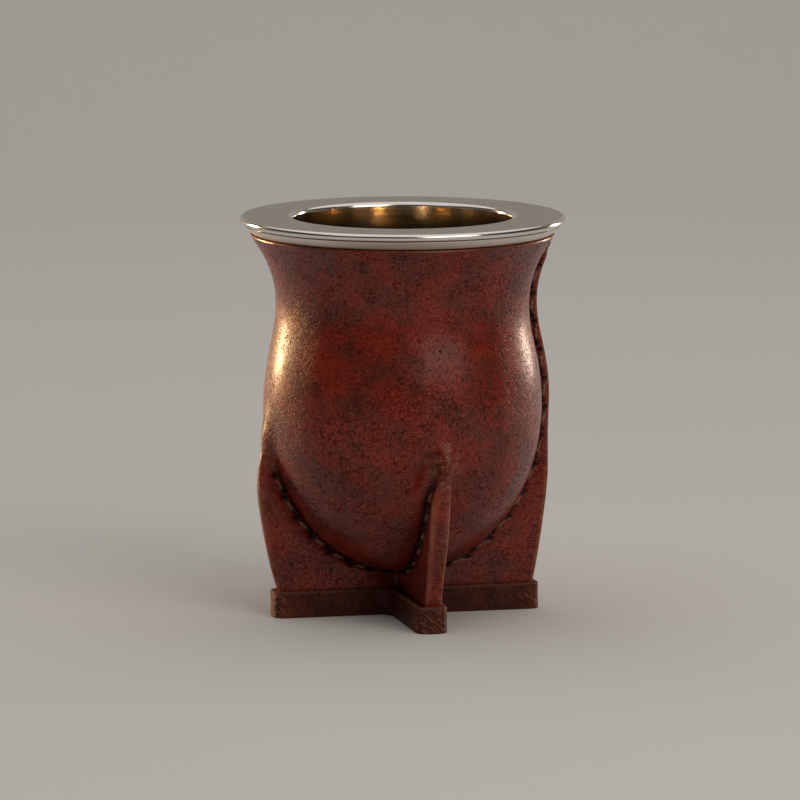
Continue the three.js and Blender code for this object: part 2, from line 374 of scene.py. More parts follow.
@dataclass(frozen=True)
class LeatherGrain:
    """Fine grain of leather: pebbles, wrinkle lines, tone patches, short strokes and strained folds.

    Scales are in cycles per metre. A stretch above 1 shortens the pattern along that axis.
    """

    cells: float = 1100.0
    pebble_edge: Range = (0.0, 0.4)
    pebble_height: float = 0.5
    drift_scale: float = 480.0
    drift_reach: float = 0.0026
    drift_middle: Triple = (0.5, 0.5, 0.5)
    web_scale: float = 330.0
    web_stretch: Triple = (1.0, 1.0, 1.5)
    web_width: Range = (0.0, 0.055)
    web_patch_scale: float = 70.0
    web_patch_edge: Range = (0.44, 0.62)
    fine_scale: float = 560.0
    fine_stretch: Triple = (1.25, 1.25, 0.75)
    fine_width: Range = (0.0, 0.085)
    fine_patch_scale: float = 240.0
    fine_patch_edge: Range = (0.42, 0.6)
    fine_most: float = 0.8
    line_depth: float = 0.8
    stroke_scale: float = 1500.0
    stroke_upright: Triple = (1.5, 1.5, 0.55)
    stroke_level: Triple = (0.6, 0.6, 1.7)
    stroke_way_scale: float = 130.0
    stroke_way_edge: Range = (0.44, 0.56)
    stroke_height: float = 0.8
    ridge_scale: float = 560.0
    ridge_stretch: Triple = (0.7, 0.7, 2.4)
    ridge_edge: Range = (0.46, 0.64)
    ridge_height: float = 2.4
    patch_scale: float = 105.0

    def _bent(self, bench: NodeBench, place: Socket) -> Socket:
        """Pull the place about a little, so that no line of the pattern runs straight.

        Args:
            bench: Bench of the tree that the nodes go into.
            place: Place on the piece.

        Returns:
            The pulled place.
        """
        drift = bench.noise(place, self.drift_scale, Breakup.UNEVEN).outputs["Color"]
        pulled = bench.add("VectorMath", {0: drift, 1: self.drift_middle}, operation="SUBTRACT").outputs[0]
        pulled = bench.add("VectorMath", {0: pulled, "Scale": self.drift_reach}, operation="SCALE").outputs[0]
        return bench.shift(place, pulled)

    def _lines(self, bench: NodeBench, place: Socket, bent: Socket) -> Socket:
        """Wide wrinkle lines in some places and finer, broken ones in others.

        Args:
            bench: Bench of the tree that the nodes go into.
            place: Place on the piece.
            bent: The pulled place.

        Returns:
            How deep a line is, from 0 to 1.
        """
        web = bench.cracks(bench.stretch(bent, self.web_stretch), self.web_scale)
        shown = bench.remap(bench.cloud(place, self.web_patch_scale, Breakup.UNEVEN), self.web_patch_edge)
        wide = bench.times(bench.remap(web, self.web_width, (1.0, 0.0)), shown)
        web = bench.cracks(bench.stretch(bent, self.fine_stretch), self.fine_scale)
        broken = bench.cloud(place, self.fine_patch_scale, Breakup.ROUGH)
        shown = bench.remap(broken, self.fine_patch_edge, (0.0, self.fine_most))
        return bench.most(wide, bench.times(bench.remap(web, self.fine_width, (1.0, 0.0)), shown))

    def _strokes(self, bench: NodeBench, place: Socket, bent: Socket) -> Socket:
        """Short strokes that stand upright in some places and lie level in others.

        Args:
            bench: Bench of the tree that the nodes go into.
            place: Place on the piece.
            bent: The pulled place.

        Returns:
            The strokes as a number.
        """
        ways = [
            bench.cloud(bench.stretch(bent, by), self.stroke_scale, Breakup.ROUGH)
            for by in (self.stroke_upright, self.stroke_level)
        ]
        way = bench.remap(bench.cloud(place, self.stroke_way_scale), self.stroke_way_edge)
        return bench.add("Mix", {0: way, 2: ways[0], 3: ways[1]}).outputs[0]

    def group(self) -> NodeGroup:
        """Build the group.

        Returns:
            The group, with Place, Cells, Wrinkle and Strain as inputs.
        """
        group = NodeGroup(
            "leather_grain",
            {"Cells": self.cells, "Wrinkle": 1.0, "Strain": 0.0},
            ("Height", "Line", "Patch", "Speck", "Ridge"),
        )
        bench, given = group.bench, group.given
        place = given["Place"]
        bent = self._bent(bench, place)
        pebble = bench.remap(bench.cracks(bent, given["Cells"]), self.pebble_edge)
        line = bench.times(self._lines(bench, place, bent), given["Wrinkle"])
        speck = self._strokes(bench, place, bent)
        folds = bench.cloud(bench.stretch(bent, self.ridge_stretch), self.ridge_scale, Breakup.ROUGH)
        ridge = bench.times(bench.remap(folds, self.ridge_edge), given["Strain"])
        height = bench.plus(bench.times(pebble, self.pebble_height), bench.times(speck, self.stroke_height))
        height = bench.plus(height, bench.times(line, -self.line_depth))
        height = bench.plus(height, bench.times(ridge, self.ridge_height))
        group.give("Height", height)
        group.give("Line", line)
        group.give("Patch", bench.cloud(place, self.patch_scale, Breakup.PATCHY))
        group.give("Speck", speck)
        group.give("Ridge", ridge)
        return group


@dataclass(frozen=True)
class BrokenEdge:
    """A mask painted along an edge, broken up by noise: scuffed fold corners with a painted highlight, and
    the raw cut edge.
    """

    scale: float = 520.0
    edge: Range = (0.34, 0.66)
    share: Range = (0.25, 1.0)

    def group(self) -> NodeGroup:
        """Build the group.

        Returns:
            The group, with Place, Mask and Amount as inputs and Wear as output.
        """
        group = NodeGroup("broken_edge", {"Mask": 0.0, "Amount": 1.0}, ("Wear",))
        bench, given = group.bench, group.given
        ragged = bench.remap(bench.cloud(given["Place"], self.scale, Breakup.RAGGED), self.edge, self.share)
        edge_breakup = bench.times(bench.times(ragged, given["Mask"]), given["Amount"])
        group.give("Wear", bench.math("MINIMUM", edge_breakup, 1.0))
        return group


@dataclass(frozen=True)
class TurnedLines:
    """Fine lathe lines round an upright axis: rings across a flat, hoops down a wall, and faint smudges."""

    fineness: float = 9000.0
    drag: float = 0.0006
    smudge_scale: float = 120.0

    def group(self) -> NodeGroup:
        """Build the group.

        Returns:
            The group, with Place and Fineness as inputs and Lines and Smudge as outputs.
        """
        group = NodeGroup("turned_lines", {"Fineness": self.fineness}, ("Lines", "Smudge"))
        bench, given = group.bench, group.given
        axes = bench.add("SeparateXYZ", {0: given["Place"]}).outputs
        square = bench.plus(bench.times(axes[0], axes[0]), bench.times(axes[1], axes[1]))
        turn = bench.times(bench.math("ARCTAN2", axes[1], axes[0]), self.drag)
        along = bench.add("CombineXYZ", {0: bench.math("SQRT", square), 1: turn, 2: axes[2]}).outputs[0]
        group.give("Lines", bench.cloud(along, given["Fineness"], Breakup.LINED))
        group.give("Smudge", bench.cloud(given["Place"], self.smudge_scale, Breakup.PATCHY))
        return group


@dataclass(frozen=True)
class LeatherFinish:
    """A dyed leather with fine grain, a raw cut edge, painted shade in creases, stitch holes and wrinkle
    lines, and painted highlights on grain strokes, strain ridges and scuffed fold corners.
    """

    MASKS: ClassVar[tuple[Mark, ...]] = (
        Mark.CREASE, Mark.FOLD, Mark.RAW, Mark.HOLE, Mark.STRAIN, Mark.FLUSH,
    )

    name: str
    deep: Colour
    # deep: wrinkle lines, the grain pattern darkened with painted shade in its creases
    dull: Colour
    dye: Colour
    # bright: grain strokes lightened as a painted highlight on their ridges
    bright: Colour
    # paler colour: a painted highlight on strain ridges, and scuffing with a painted highlight on fold
    # corners
    worn: Colour
    raw: Colour
    # painted shade: near-black laid in the crease between a fin and the gourd
    crease: Colour
    # painted shade: near-black laid in the stitch holes
    hole: Colour = (0.0020, 0.0012, 0.0010, 1.0)
    cells: float = 1100.0
    wrinkle: float = 1.0
    relief: float = 0.00011
    roughness: float = 0.46
    sheen: float = 0.08
    gloss: float = 0.7
    gloss_roughness: float = 0.29
    shear: float = 0.0
    patch_edge: Range = (0.38, 0.62)
    flush_share: float = 0.7
    speck_edge: Range = (0.32, 0.68)
    speck_tone: Range = (0.68, 1.28)
    bright_edge: Range = (0.53, 0.72)
    bright_share: float = 0.28
    line_share: float = 0.75
    ridge_share: float = 0.75
    fold_wear_and_highlight: float = 0.5
    crease_share: float = 0.9
    raw_wear: float = 1.2
    rough_edge: Range = (0.3, 0.7)
    rough_swing: Range = (0.08, -0.06)
    raw_rougher: float = 0.3
    hole_rougher: float = 0.4
    pit_edge: Range = (0.34, 0.5)

    def _sheared(self, bench: NodeBench, place: Socket) -> Socket:
        """Slant the pattern upwards along the piece, so that level folds run diagonally.

        Args:
            bench: Bench of the tree that the nodes go into.
            place: Place on the piece.

        Returns:
            The slanted place.
        """
        axes = bench.add("SeparateXYZ", {0: place}).outputs
        raised = bench.times(bench.plus(axes[0], axes[1]), self.shear)
        return bench.shift(place, bench.add("CombineXYZ", {2: raised}).outputs[0])

    def _tone(self, bench: NodeBench, skin: bpy.types.NodeOutputs, fold: Socket, raw: Socket) -> Socket:
        """Lay the leather's colours over one another, painted shade and painted highlights among them.

        Args:
            bench: Bench of the material's tree.
            skin: Outputs of the leather grain.
            fold: Where fold corners are scuffed and carry a painted highlight.
            raw: Where the cut edge shows.

        Returns:
            The colour.
        """
        tone = bench.blend(bench.remap(skin["Patch"], self.patch_edge), self.dull, self.dye)
        tone = bench.blend(bench.times(bench.mark(Mark.FLUSH), self.flush_share), tone, self.dye)
        mottle = bench.remap(skin["Speck"], self.speck_edge, self.speck_tone)
        tone = bench.blend(1.0, tone, mottle, "MULTIPLY")
        # lighter grain strokes: a painted highlight on the grain's ridges
        painted_highlight = bench.remap(skin["Speck"], self.bright_edge, (0.0, self.bright_share))
        for share, colour in (
            (painted_highlight, self.bright),
            # wrinkle lines: grain pattern darkened with painted shade in its creases
            (bench.times(skin["Line"], self.line_share), self.deep),
            # painted highlight on strain ridges; scuffed fold corners that also carry a painted highlight
            (bench.times(skin["Ridge"], self.ridge_share), self.worn),
            (fold, self.worn),
            # painted shade in the crease between fin and gourd
            (bench.times(bench.mark(Mark.CREASE), self.crease_share), self.crease),
            (raw, self.raw),
            # painted shade in the stitch holes
            (bench.mark(Mark.HOLE), self.hole),
        ):
            tone = bench.blend(share, tone, colour)
        return tone

    def material(self, grain: NodeGroup, edge_breakup: NodeGroup) -> Material:
        """Make the leather.

        Args:
            grain: Leather grain group.
            edge_breakup: Broken edge group.

        Returns:
            The material.
        """
        bench = MaterialBench(self.name)
        place = self._sheared(bench, bench.object_place())
        inputs = {"Place": place, "Cells": self.cells, "Wrinkle": self.wrinkle}
        skin = grain.place(bench, {**inputs, "Strain": bench.mark(Mark.STRAIN)})
        # fold: scuffed fold corners carrying a painted highlight; raw: the raw cut edge
        fold, raw = (
            edge_breakup.place(bench, {"Place": place, "Mask": bench.mark(mark), "Amount": amount})["Wear"]
            for mark, amount in ((Mark.FOLD, self.fold_wear_and_highlight), (Mark.RAW, self.raw_wear))
        )
        hole = bench.mark(Mark.HOLE)
        rough = tuple(self.roughness + swing for swing in self.rough_swing)
        rough = bench.remap(skin["Speck"], self.rough_edge, rough)
        rough = bench.plus(rough, bench.times(raw, self.raw_rougher))
        # Painted shade in the gloss: the coat is taken off stitch holes, creases, wrinkle lines and pits, so
        # they stay dark inside highlights.
        pits = bench.remap(skin["Speck"], self.pit_edge, (1.0, 0.0))
        shut = bench.most(hole, bench.mark(Mark.CREASE), skin["Line"], pits)
        return bench.dress({
            "Base Color": self._tone(bench, skin, fold, raw),
            "Roughness": bench.plus(rough, bench.times(hole, self.hole_rougher)),
            "Normal": bench.bump(skin["Height"], self.relief),
            "Coat Weight": bench.remap(shut, (0.0, 1.0), (self.gloss, 0.0)),
            "Coat Roughness": self.gloss_roughness,
            "Specular IOR Level": self.sheen,
        })


class MetalPolish(Enum):
    """How a stretch of the steel is finished: name, roughness, and depth of its lathe lines in metres."""

    SATIN = ("steel_satin", 0.3, 0.0000030)
    SKIRT = ("steel_skirt", 0.5, 0.0000030)
    POLISHED = ("steel_polished", 0.13, 0.0000012)
    BORE = ("steel_bore", 0.15, 0.0000160)


@dataclass(frozen=True)
class SteelFinish:
    """Turned steel with fine lathe lines and faint smudges."""

    light: Colour
    dim: Colour
    fineness: float = 9000.0
    edge: Range = (0.3, 0.7)
    smudge_share: float = 0.15
    rough_swing: Range = (0.94, 1.06)

    def material(self, polish: MetalPolish, lines: NodeGroup) -> Material:
        """Make the steel.

        Args:
            polish: How the steel is finished.
            lines: Turned lines group.

        Returns:
            The material.
        """
        name, roughness, depth = polish.value
        bench = MaterialBench(name)
        turned = lines.place(bench, {"Place": bench.object_place(), "Fineness": self.fineness})
        smudge = bench.remap(turned["Smudge"], self.edge)
        streak = bench.times(bench.remap(turned["Lines"], self.edge), 1.0 - self.smudge_share)
        share = bench.plus(bench.times(smudge, self.smudge_share), streak)
        rough = tuple(roughness * swing for swing in self.rough_swing)
        return bench.dress({
            "Base Color": bench.blend(share, self.dim, self.light),
            "Roughness": bench.remap(smudge, (0.0, 1.0), rough),
            "Normal": bench.bump(turned["Lines"], depth),
            "Metallic": 1.0,
        })


@dataclass(frozen=True)
class ThreadFinish:
    """Dark waxed thread, with a paler painted highlight on the crown of each stitch."""

    name: str = "waxed_thread"
    dark: Colour = (0.010, 0.006, 0.004, 1.0)
    # painted highlight: the paler colour laid on the crown of each stitch
    painted_highlight: Colour = (0.340, 0.175, 0.105, 1.0)
    fibre_scale: float = 2600.0
    crown_edge: Range = (0.55, 0.95)
    fibre_edge: Range = (0.34, 0.6)
    fibre_share: Range = (0.15, 1.0)
    rough_edge: Range = (0.3, 0.7)
    roughness: Range = (0.28, 0.5)
    sheen: float = 0.3
    relief: float = 0.00006
    relief_share: float = 0.7

    def material(self) -> Material:
        """Make the thread.

        Returns:
            The material.
        """
        bench = MaterialBench(self.name)
        fibre = bench.cloud(bench.object_place(), self.fibre_scale, Breakup.ROUGH)
        crown = bench.remap(bench.mark(Mark.CROWN), self.crown_edge)
        share = bench.times(bench.remap(fibre, self.fibre_edge, self.fibre_share), crown)
        return bench.dress({
            "Base Color": bench.blend(share, self.dark, self.painted_highlight),
            "Roughness": bench.remap(fibre, self.rough_edge, self.roughness),
            "Normal": bench.bump(fibre, self.relief, self.relief_share),
            "Specular IOR Level": self.sheen,
        })


@dataclass(frozen=True)
class FloorFinish:
    """Plain pale paper."""

    name: str = "pale_paper"
    pale: Colour = (0.76, 0.74, 0.71, 1.0)
    shade: Colour = (0.735, 0.715, 0.685, 1.0)
    cloud_scale: float = 3.0
    roughness: float = 0.85
    sheen: float = 0.2

    def material(self) -> Material:
        """Make the paper.

        Returns:
            The material.
        """
        bench = MaterialBench(self.name)
        share = bench.cloud(bench.object_place(), self.cloud_scale, Breakup.UNEVEN)
        return bench.dress({
            "Base Color": bench.blend(share, self.pale, self.shade),
            "Roughness": self.roughness,
            "Specular IOR Level": self.sheen,
        })


def paint(mesh: Mesh, name: Mark, values: Array) -> None:
    """Store one mask value per vertex on a mesh."""
    made = mesh.attributes.new(name.value, "FLOAT", "POINT")
    made.data.foreach_set("value", np.clip(values, 0.0, 1.0).astype(np.float32))


def vertices_of(mesh: Mesh) -> Array:
    """Vertex places of a mesh, one row each.

    Args:
        mesh: The mesh.

    Returns:
        The places.
    """
    places = np.empty(len(mesh.vertices) * 3, np.float32)
    mesh.vertices.foreach_get("co", places)
    return places.reshape(-1, 3).astype(float)


def normals_of(mesh: Mesh) -> Array:
    """Vertex normals of a mesh, one row each.

    Args:
        mesh: The mesh.

    Returns:
        The normals.
    """
    values = np.empty(len(mesh.vertices) * 3, np.float32)
    mesh.vertex_normals.foreach_get("vector", values)
    return values.reshape(-1, 3).astype(float)


def move_vertices(mesh: Mesh, places: Array) -> None:
    """Put a mesh's vertices at new places."""
    mesh.vertices.foreach_set("co", places.astype(np.float32).ravel())
    mesh.update()


def mesh_from(bm: BMesh, name: str) -> Mesh:
    """Turn a bmesh into a mesh and free it.

    Args:
        bm: The finished bmesh.
        name: Name of the mesh.

    Returns:
        The mesh.
    """
    mesh = bpy.data.meshes.new(name)
    bm.to_mesh(mesh)
    bm.free()
    return mesh


def spin_round(bm: BMesh, section: Iterable[Triple], steps: int) -> None:
    """Turn a section once round the upright axis.

    Args:
        bm: The mesh being made.
        section: Points of the section, in order.
        steps: How many steps make the full turn.
    """
    verts = [bm.verts.new(point) for point in section]
    edges = [bm.edges.new(pair) for pair in zip(verts, verts[1:])]
    bmesh.ops.spin(
        bm, geom=[*verts, *edges], axis=(0, 0, 1), cent=(0, 0, 0), angle=FULL_TURN, steps=steps,
        use_merge=True,
    )


def extrude_line(bm: BMesh, line: list[bmesh.types.BMEdge], step: Triple) -> list[bmesh.types.BMEdge]:
    """Draw a line of edges out into a strip.

    Args:
        bm: The mesh being made.
        line: Edges to be drawn out.
        step: How far they go.

    Returns:
        The edges at the far side of the strip.
    """
    grown = bmesh.ops.extrude_edge_only(bm, edges=line)["geom"]
    verts = [part for part in grown if isinstance(part, bmesh.types.BMVert)]
    bmesh.ops.translate(bm, verts=verts, vec=step)
    return [part for part in grown if isinstance(part, bmesh.types.BMEdge)]


def round_off(bm: BMesh, geom: list, offset: float, affect: str, segments: int) -> None:
    """Round corners or edges off.

    Args:
        bm: The mesh being made.
        geom: Vertices or edges to be rounded.
        offset: How far from the corner the rounding starts.
        affect: Whether VERTICES or EDGES are rounded.
        segments: Steps in each rounding.
    """
    bmesh.ops.bevel(
        bm, geom=geom, offset=offset, offset_type="OFFSET", affect=affect, segments=segments, profile=0.5,
        material=-1,
    )


def finish_piece(
    name: str,
    mesh: Mesh,
    materials: Iterable[Material],
    nodes: Iterable[str],
    sharp_degrees: float = 50.0,
) -> None:
    """Turn a mesh in millimetres into a shown piece that stands for its solids.

    Args:
        name: Name of the piece.
        mesh: The mesh, in millimetres.
        materials: Materials in the order of the mesh's material numbers.
        nodes: Solids that the piece stands for.
        sharp_degrees: Angle above which an edge is shaded sharp.
    """
    mesh.transform(Matrix.Scale(MM, 4))
    for material in materials:
        mesh.materials.append(material)
    mesh.shade_smooth()
    mesh.set_sharp_from_angle(angle=math.radians(sharp_degrees))
    piece = bpy.data.objects.new(name, mesh)
    bpy.context.scene.collection.objects.link(piece)
    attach(piece, "root")
    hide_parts(*nodes)
    LOG.info("%s: %d faces", name, len(mesh.polygons))


@dataclass(frozen=True)
class GourdForm:
    """Outline of the leather-covered gourd: round bowl, belly, waist and flared collar."""

    bottom: float = 11.3
    belly_radius: float = 36.8
    belly_height: float = 55.4
    waist_radius: float = 33.4
    waist_height: float = 82.6
    fullness: float = 1.25
    collar_radius: float = 40.5
    top: float = 101.4
    slope_step: float = 0.25

    def radius(self, height: Array) -> Array:
        """Radius at each height.

        Args:
            height: Heights, in millimetres.

        Returns:
            One radius per height.
        """
        height = np.asarray(height, float)
        drop = np.clip((self.belly_height - height) / (self.belly_height - self.bottom), 0.0, 1.0)
        bowl = self.belly_radius * np.sqrt(1.0 - drop * drop)
        climb = np.clip((height - self.belly_height) / (self.waist_height - self.belly_height), 0.0, 1.0)
        ease = (1.0 - np.cos(np.pi * climb**self.fullness)) / 2.0
        shoulder = self.belly_radius + (self.waist_radius - self.belly_radius) * ease
        rise = np.clip((height - self.waist_height) / (self.top - self.waist_height), 0.0, None)
        flare = self.waist_radius + (self.collar_radius - self.waist_radius) * rise * rise
        upper = np.where(height <= self.waist_height, shoulder, flare)
        return np.where(height <= self.belly_height, bowl, upper)

    def distance(self, radius: Array, height: Array) -> Array:
        """Distance of points from the gourd's surface, negative inside.

        Args:
            radius: Distances of the points from the axis.
            height: Heights, in millimetres.

        Returns:
            One distance per point.
        """
        rise = self.belly_height - self.bottom
        drop = height - self.belly_height
        level = np.hypot(radius / self.belly_radius, drop / rise)
        steep = np.hypot(radius / self.belly_radius**2, drop / rise**2)
        bowl = level * (level - 1.0) / np.maximum(steep, 1e-9)
        growth = self.radius(height + self.slope_step) - self.radius(height - self.slope_step)
        wall = (radius - self.radius(height)) / np.hypot(1.0, growth / (2.0 * self.slope_step))
        return np.where(height <= self.belly_height, bowl, wall)


@dataclass(frozen=True)
class FinForm:
    """One fin of the cover: a pinched fold, or the two cut layers of the seam.

    A range of heights says where a change along the fin begins and where it ends.
    """

    side: FinSide
    gourd: GourdForm
    lean_by: Triple = (0.0, 0.0, 0.0)
    lean_slow: Range = (8.0, 36.0)
    lean_fast: Range = (33.0, 46.0)
    edge_rounding: float = 2.0
    crest_rounding: float = 1.9
    crest: Range = (33.0, 45.0)
    fold_fillet: float = 1.3
    crest_fillet: float = 6.0
    run_out: Range = (38.0, 50.0)
    strain: float = 0.25
    hollows: Range = (0.0, 0.0)
    foot_top: float = 7.0
    foot_reach: float = 34.0
    reach_most: float = 39.3
    reach_height: float = 36.5
    flare: float = 1.7
    tip_height: float = 51.0
    tip_draw: float = 3.4
    tip_power: float = 2.0
    fold_half: float = 2.25
    fold_fuller: float = 0.35
    fuller: Range = (8.0, 34.0)
    fold_thinner: float = 0.6
    thinner: Range = (35.0, 42.0)
    fold_seat: float = 0.85
    fold_pinch: float = 0.3
    pinch_ends: Range = (36.0, 43.0)
    pinch_inward: float = 1.2
    pinch_outward: float = 3.4
    pinch_fade: float = 1.6
    seam_half: float = 2.0
    seam_fillet: float = 1.1
    seam_foot_reach: float = 35.2
    seam_flare: float = 1.3
    seam_proud: float = 2.8
    seam_rejoin: float = 57.0
    seam_trim: float = 94.0
    seam_top_proud: float = 0.8
    seam_seat: float = 1.3
    seam_pinch: float = 0.16

    @property
    def seat(self) -> float:
        """How far from the gourd the thread lies on the fin's face."""
        return self.seam_seat if self.is_seam else self.fold_seat

    @property
    def is_seam(self) -> bool:
        """Whether this fin is the full-length seam."""
        return self.side is FinSide.SEAM

    def lean(self, height: Array) -> Array:
        """How far the fold leans to its + side: at its foot, up its length and at its top."""
        foot, slow, fast = self.lean_by
        return foot + slow * smoothstep(height, *self.lean_slow) + fast * smoothstep(height, *self.lean_fast)

    def local(self, x: Array, y: Array, height: Array) -> tuple[Array, Array]:
        """Distances along and across the fin, from the axis and from the fold's own middle."""
        cosine, sine = math.cos(self.side.turn), math.sin(self.side.turn)
        return x * cosine + y * sine, y * cosine - x * sine - self.lean(height)

    def world(self, along: Array, across: Array, height: Array) -> tuple[Array, Array]:
        """Places of points given along and across the fin.

        Args:
            along: Distances along the fin.
            across: Distances across it.
            height: Heights, in millimetres.

        Returns:
            The points' X and Y.
        """
        cosine, sine = math.cos(self.side.turn), math.sin(self.side.turn)
        shifted = across + self.lean(height)
        return along * cosine - shifted * sine, along * sine + shifted * cosine

    def _seam_edge(self, height: Array) -> Array:
        """Distance of the seam's edge from the axis, above its widest place.

        Args:
            height: Heights, in millimetres.

        Returns:
            One distance per height.
        """
        rejoined = self.gourd.radius(self.seam_rejoin) + self.seam_proud
        share = (height - self.reach_height) / (self.seam_rejoin - self.reach_height)
        trim = np.clip((height - self.seam_trim) / (self.gourd.top - self.seam_trim), 0.0, 1.0)
        proud = self.seam_proud + (self.seam_top_proud - self.seam_proud) * trim
        straight = self.reach_most + (rejoined - self.reach_most) * share
        return np.where(height <= self.seam_rejoin, straight, self.gourd.radius(height) + proud)

    def reach(self, height: Array) -> Array:
        """Distance of the fin's outer edge from the axis.

        Args:
            height: Heights, in millimetres.

        Returns:
            One distance per height.
        """
        height = np.asarray(height, float)
        foot = self.seam_foot_reach if self.is_seam else self.foot_reach
        flare = self.seam_flare if self.is_seam else self.flare
        drop = np.clip((self.reach_height - height) / (self.reach_height - self.foot_top), 0.0, 1.0)
        lower = self.reach_most - (self.reach_most - foot) * drop**flare
        climb = np.maximum(height - self.reach_height, 0.0) / (self.tip_height - self.reach_height)
        fold = self.reach_most - self.tip_draw * climb**self.tip_power
        upper = self._seam_edge(height) if self.is_seam else fold
        return np.where(height <= self.reach_height, lower, upper)

    def half_thickness(self, height: Array) -> Array:
        """Half the fin's thickness: the fold is fuller under its top, where it narrows into a ridge.

        Args:
            height: Heights, in millimetres.

        Returns:
            One thickness per height.
        """
        if self.is_seam:
            return np.full_like(height, self.seam_half, float)
        fuller = self.fold_fuller * smoothstep(height, *self.fuller)
        return self.fold_half + fuller - self.fold_thinner * smoothstep(height, *self.thinner)

    def rounding(self, height: Array) -> Array:
        """Radius of the fin's outer corners.

        Args:
            height: Heights, in millimetres.

        Returns:
            One radius per height.
        """
        if self.is_seam:
            return np.full_like(height, self.edge_rounding, float)
        change = self.crest_rounding - self.edge_rounding
        return self.edge_rounding + change * smoothstep(height, *self.crest)

    def fillet(self, height: Array) -> Array:
        """Width of the fillet into the gourd: tight along the stitches, soft where a fold runs out.

        Args:
            height: Heights, in millimetres.

        Returns:
            One width per height.
        """
        if self.is_seam:
            return np.full_like(height, self.seam_fillet, float)
        change = self.crest_fillet - self.fold_fillet
        return self.fold_fillet + change * smoothstep(height, *self.run_out)

    def distance(self, along: Array, across: Array, height: Array) -> Array:
        """Distance of points from the fin's surface, negative inside.

        Args:
            along: Distances along the fin.
            across: Distances across it.
            height: Heights, in millimetres.

        Returns:
            One distance per point.
        """
        rounding, half = self.rounding(height), self.half_thickness(height)
        beyond = np.maximum(along - (self.reach(height) - rounding), -along - half)
        aside = np.abs(across) - (half - rounding)
        outside = np.hypot(np.maximum(beyond, 0.0), np.maximum(aside, 0.0))
        return outside + np.minimum(np.maximum(beyond, aside), 0.0) - rounding

    def joint_reach(self, height: Array) -> Array:
        """Distance along the fin where its face meets the gourd."""
        square = self.gourd.radius(height) ** 2 - self.half_thickness(height) ** 2
        return np.sqrt(np.maximum(square, 0.0))

    def pinch(self, along: Array, across: Array, height: Array) -> Array:
        """Draw the fin's faces together along the stitches.

        Args:
            along: Distances along the fin.
            across: Distances across it.
            height: Heights.

        Returns:
            The new distances across.
        """
        offset = along - self.joint_reach(height) - self.seat
        spread = np.where(offset > 0.0, self.pinch_outward, self.pinch_inward)
        beside = np.maximum(np.abs(across) - self.half_thickness(height), 0.0)
        depth = self.fold_pinch * (1.0 - smoothstep(height, *self.pinch_ends))
        if self.is_seam:
            depth = self.seam_pinch
        return across * (1.0 - depth * bell(offset, spread) * bell(beside, self.pinch_fade) * (along > 0.0))


@dataclass
class CoverShape:
    """The whole outer form of the leather cover."""

    gourd: GourdForm = field(default_factory=GourdForm)
    least_reach: float = 0.4
    most_reach: float = 48.0
    halvings: int = 26
    probe: float = 0.05
    settling_steps: int = 8
    settling_share: float = 0.8

    def __post_init__(self) -> None:
        """Make the four fins: the front fold leans over and stands proud, the others run out softly."""
        self.fins = [
            FinForm(FinSide.SEAM, self.gourd, edge_rounding=0.55),
            FinForm(FinSide.BACK, self.gourd, lean_by=(0.0, 0.2, -0.9)),
            FinForm(FinSide.LEFT, self.gourd, lean_by=(0.0, 0.1, 0.3), edge_rounding=2.1),
            FinForm(
                FinSide.FRONT, self.gourd, lean_by=(0.65, 0.7, 1.93), edge_rounding=1.0, crest_fillet=3.0,
                strain=1.0, hollows=(1.15, 0.3), tip_height=49.3, tip_draw=2.9, tip_power=4.0,
            ),
        ]

    def distance(self, x: Array, y: Array, height: Array) -> Array:
        """Distance of points from the cover's surface, negative inside.

        Args:
            x: Places along X.
            y: Places along Y.
            height: Heights, in millimetres.

        Returns:
            One distance per point.
        """
        value = self.gourd.distance(np.hypot(x, y), height)
        for fin in self.fins:
            along, across = fin.local(x, y, height)
            value = soft_union(value, fin.distance(along, across, height), fin.fillet(height))
        return value

    def outline(self, height: Array, turn: Array) -> Array:
        """Distance from the axis to the surface at each height and turn.

        Args:
            height: Heights, as a column.
            turn: Angles round the axis, as a row.

        Returns:
            A table of distances.
        """
        low = np.full(np.broadcast(height, turn).shape, self.least_reach)
        high = np.full_like(low, self.most_reach)
        cosine, sine = np.cos(turn), np.sin(turn)
        for _ in range(self.halvings):
            middle = (low + high) / 2.0
            inside = self.distance(middle * cosine, middle * sine, height) < 0.0
            low = np.where(inside, middle, low)
            high = np.where(inside, high, middle)
        return (low + high) / 2.0

    def pinch(self, points: Array) -> Array:
        """Draw points together along every stitched fin.

        Args:
            points: Points in millimetres, one per row.

        Returns:
            The moved points.
        """
        moved = points.copy()
        for fin in self.fins:
            along, across = fin.local(*moved.T)
            across = fin.pinch(along, across, moved[:, 2])
            moved[:, 0], moved[:, 1] = fin.world(along, across, moved[:, 2])
        return moved

    def outward(self, points: Array) -> Array:
        """Directions out of the surface at each point.

        Args:
            points: Points in millimetres, one per row.

        Returns:
            One unit vector per point.
        """
        slopes = []
        for axis in np.eye(3) * self.probe:
            ahead, behind = points + axis, points - axis
            slopes.append(self.distance(*ahead.T) - self.distance(*behind.T))
        direction = np.stack(slopes, axis=1)
        return direction / np.linalg.norm(direction, axis=1, keepdims=True)

    def settle(self, points: Array) -> Array:
        """Slide points out or in until they lie on the surface.

        Args:
            points: Points in millimetres, one per row.

        Returns:
            The moved points.
        """
        for _ in range(self.settling_steps):
            gap = self.settling_share * self.distance(*points.T)
            points = points - gap[:, None] * self.outward(points)
        return points


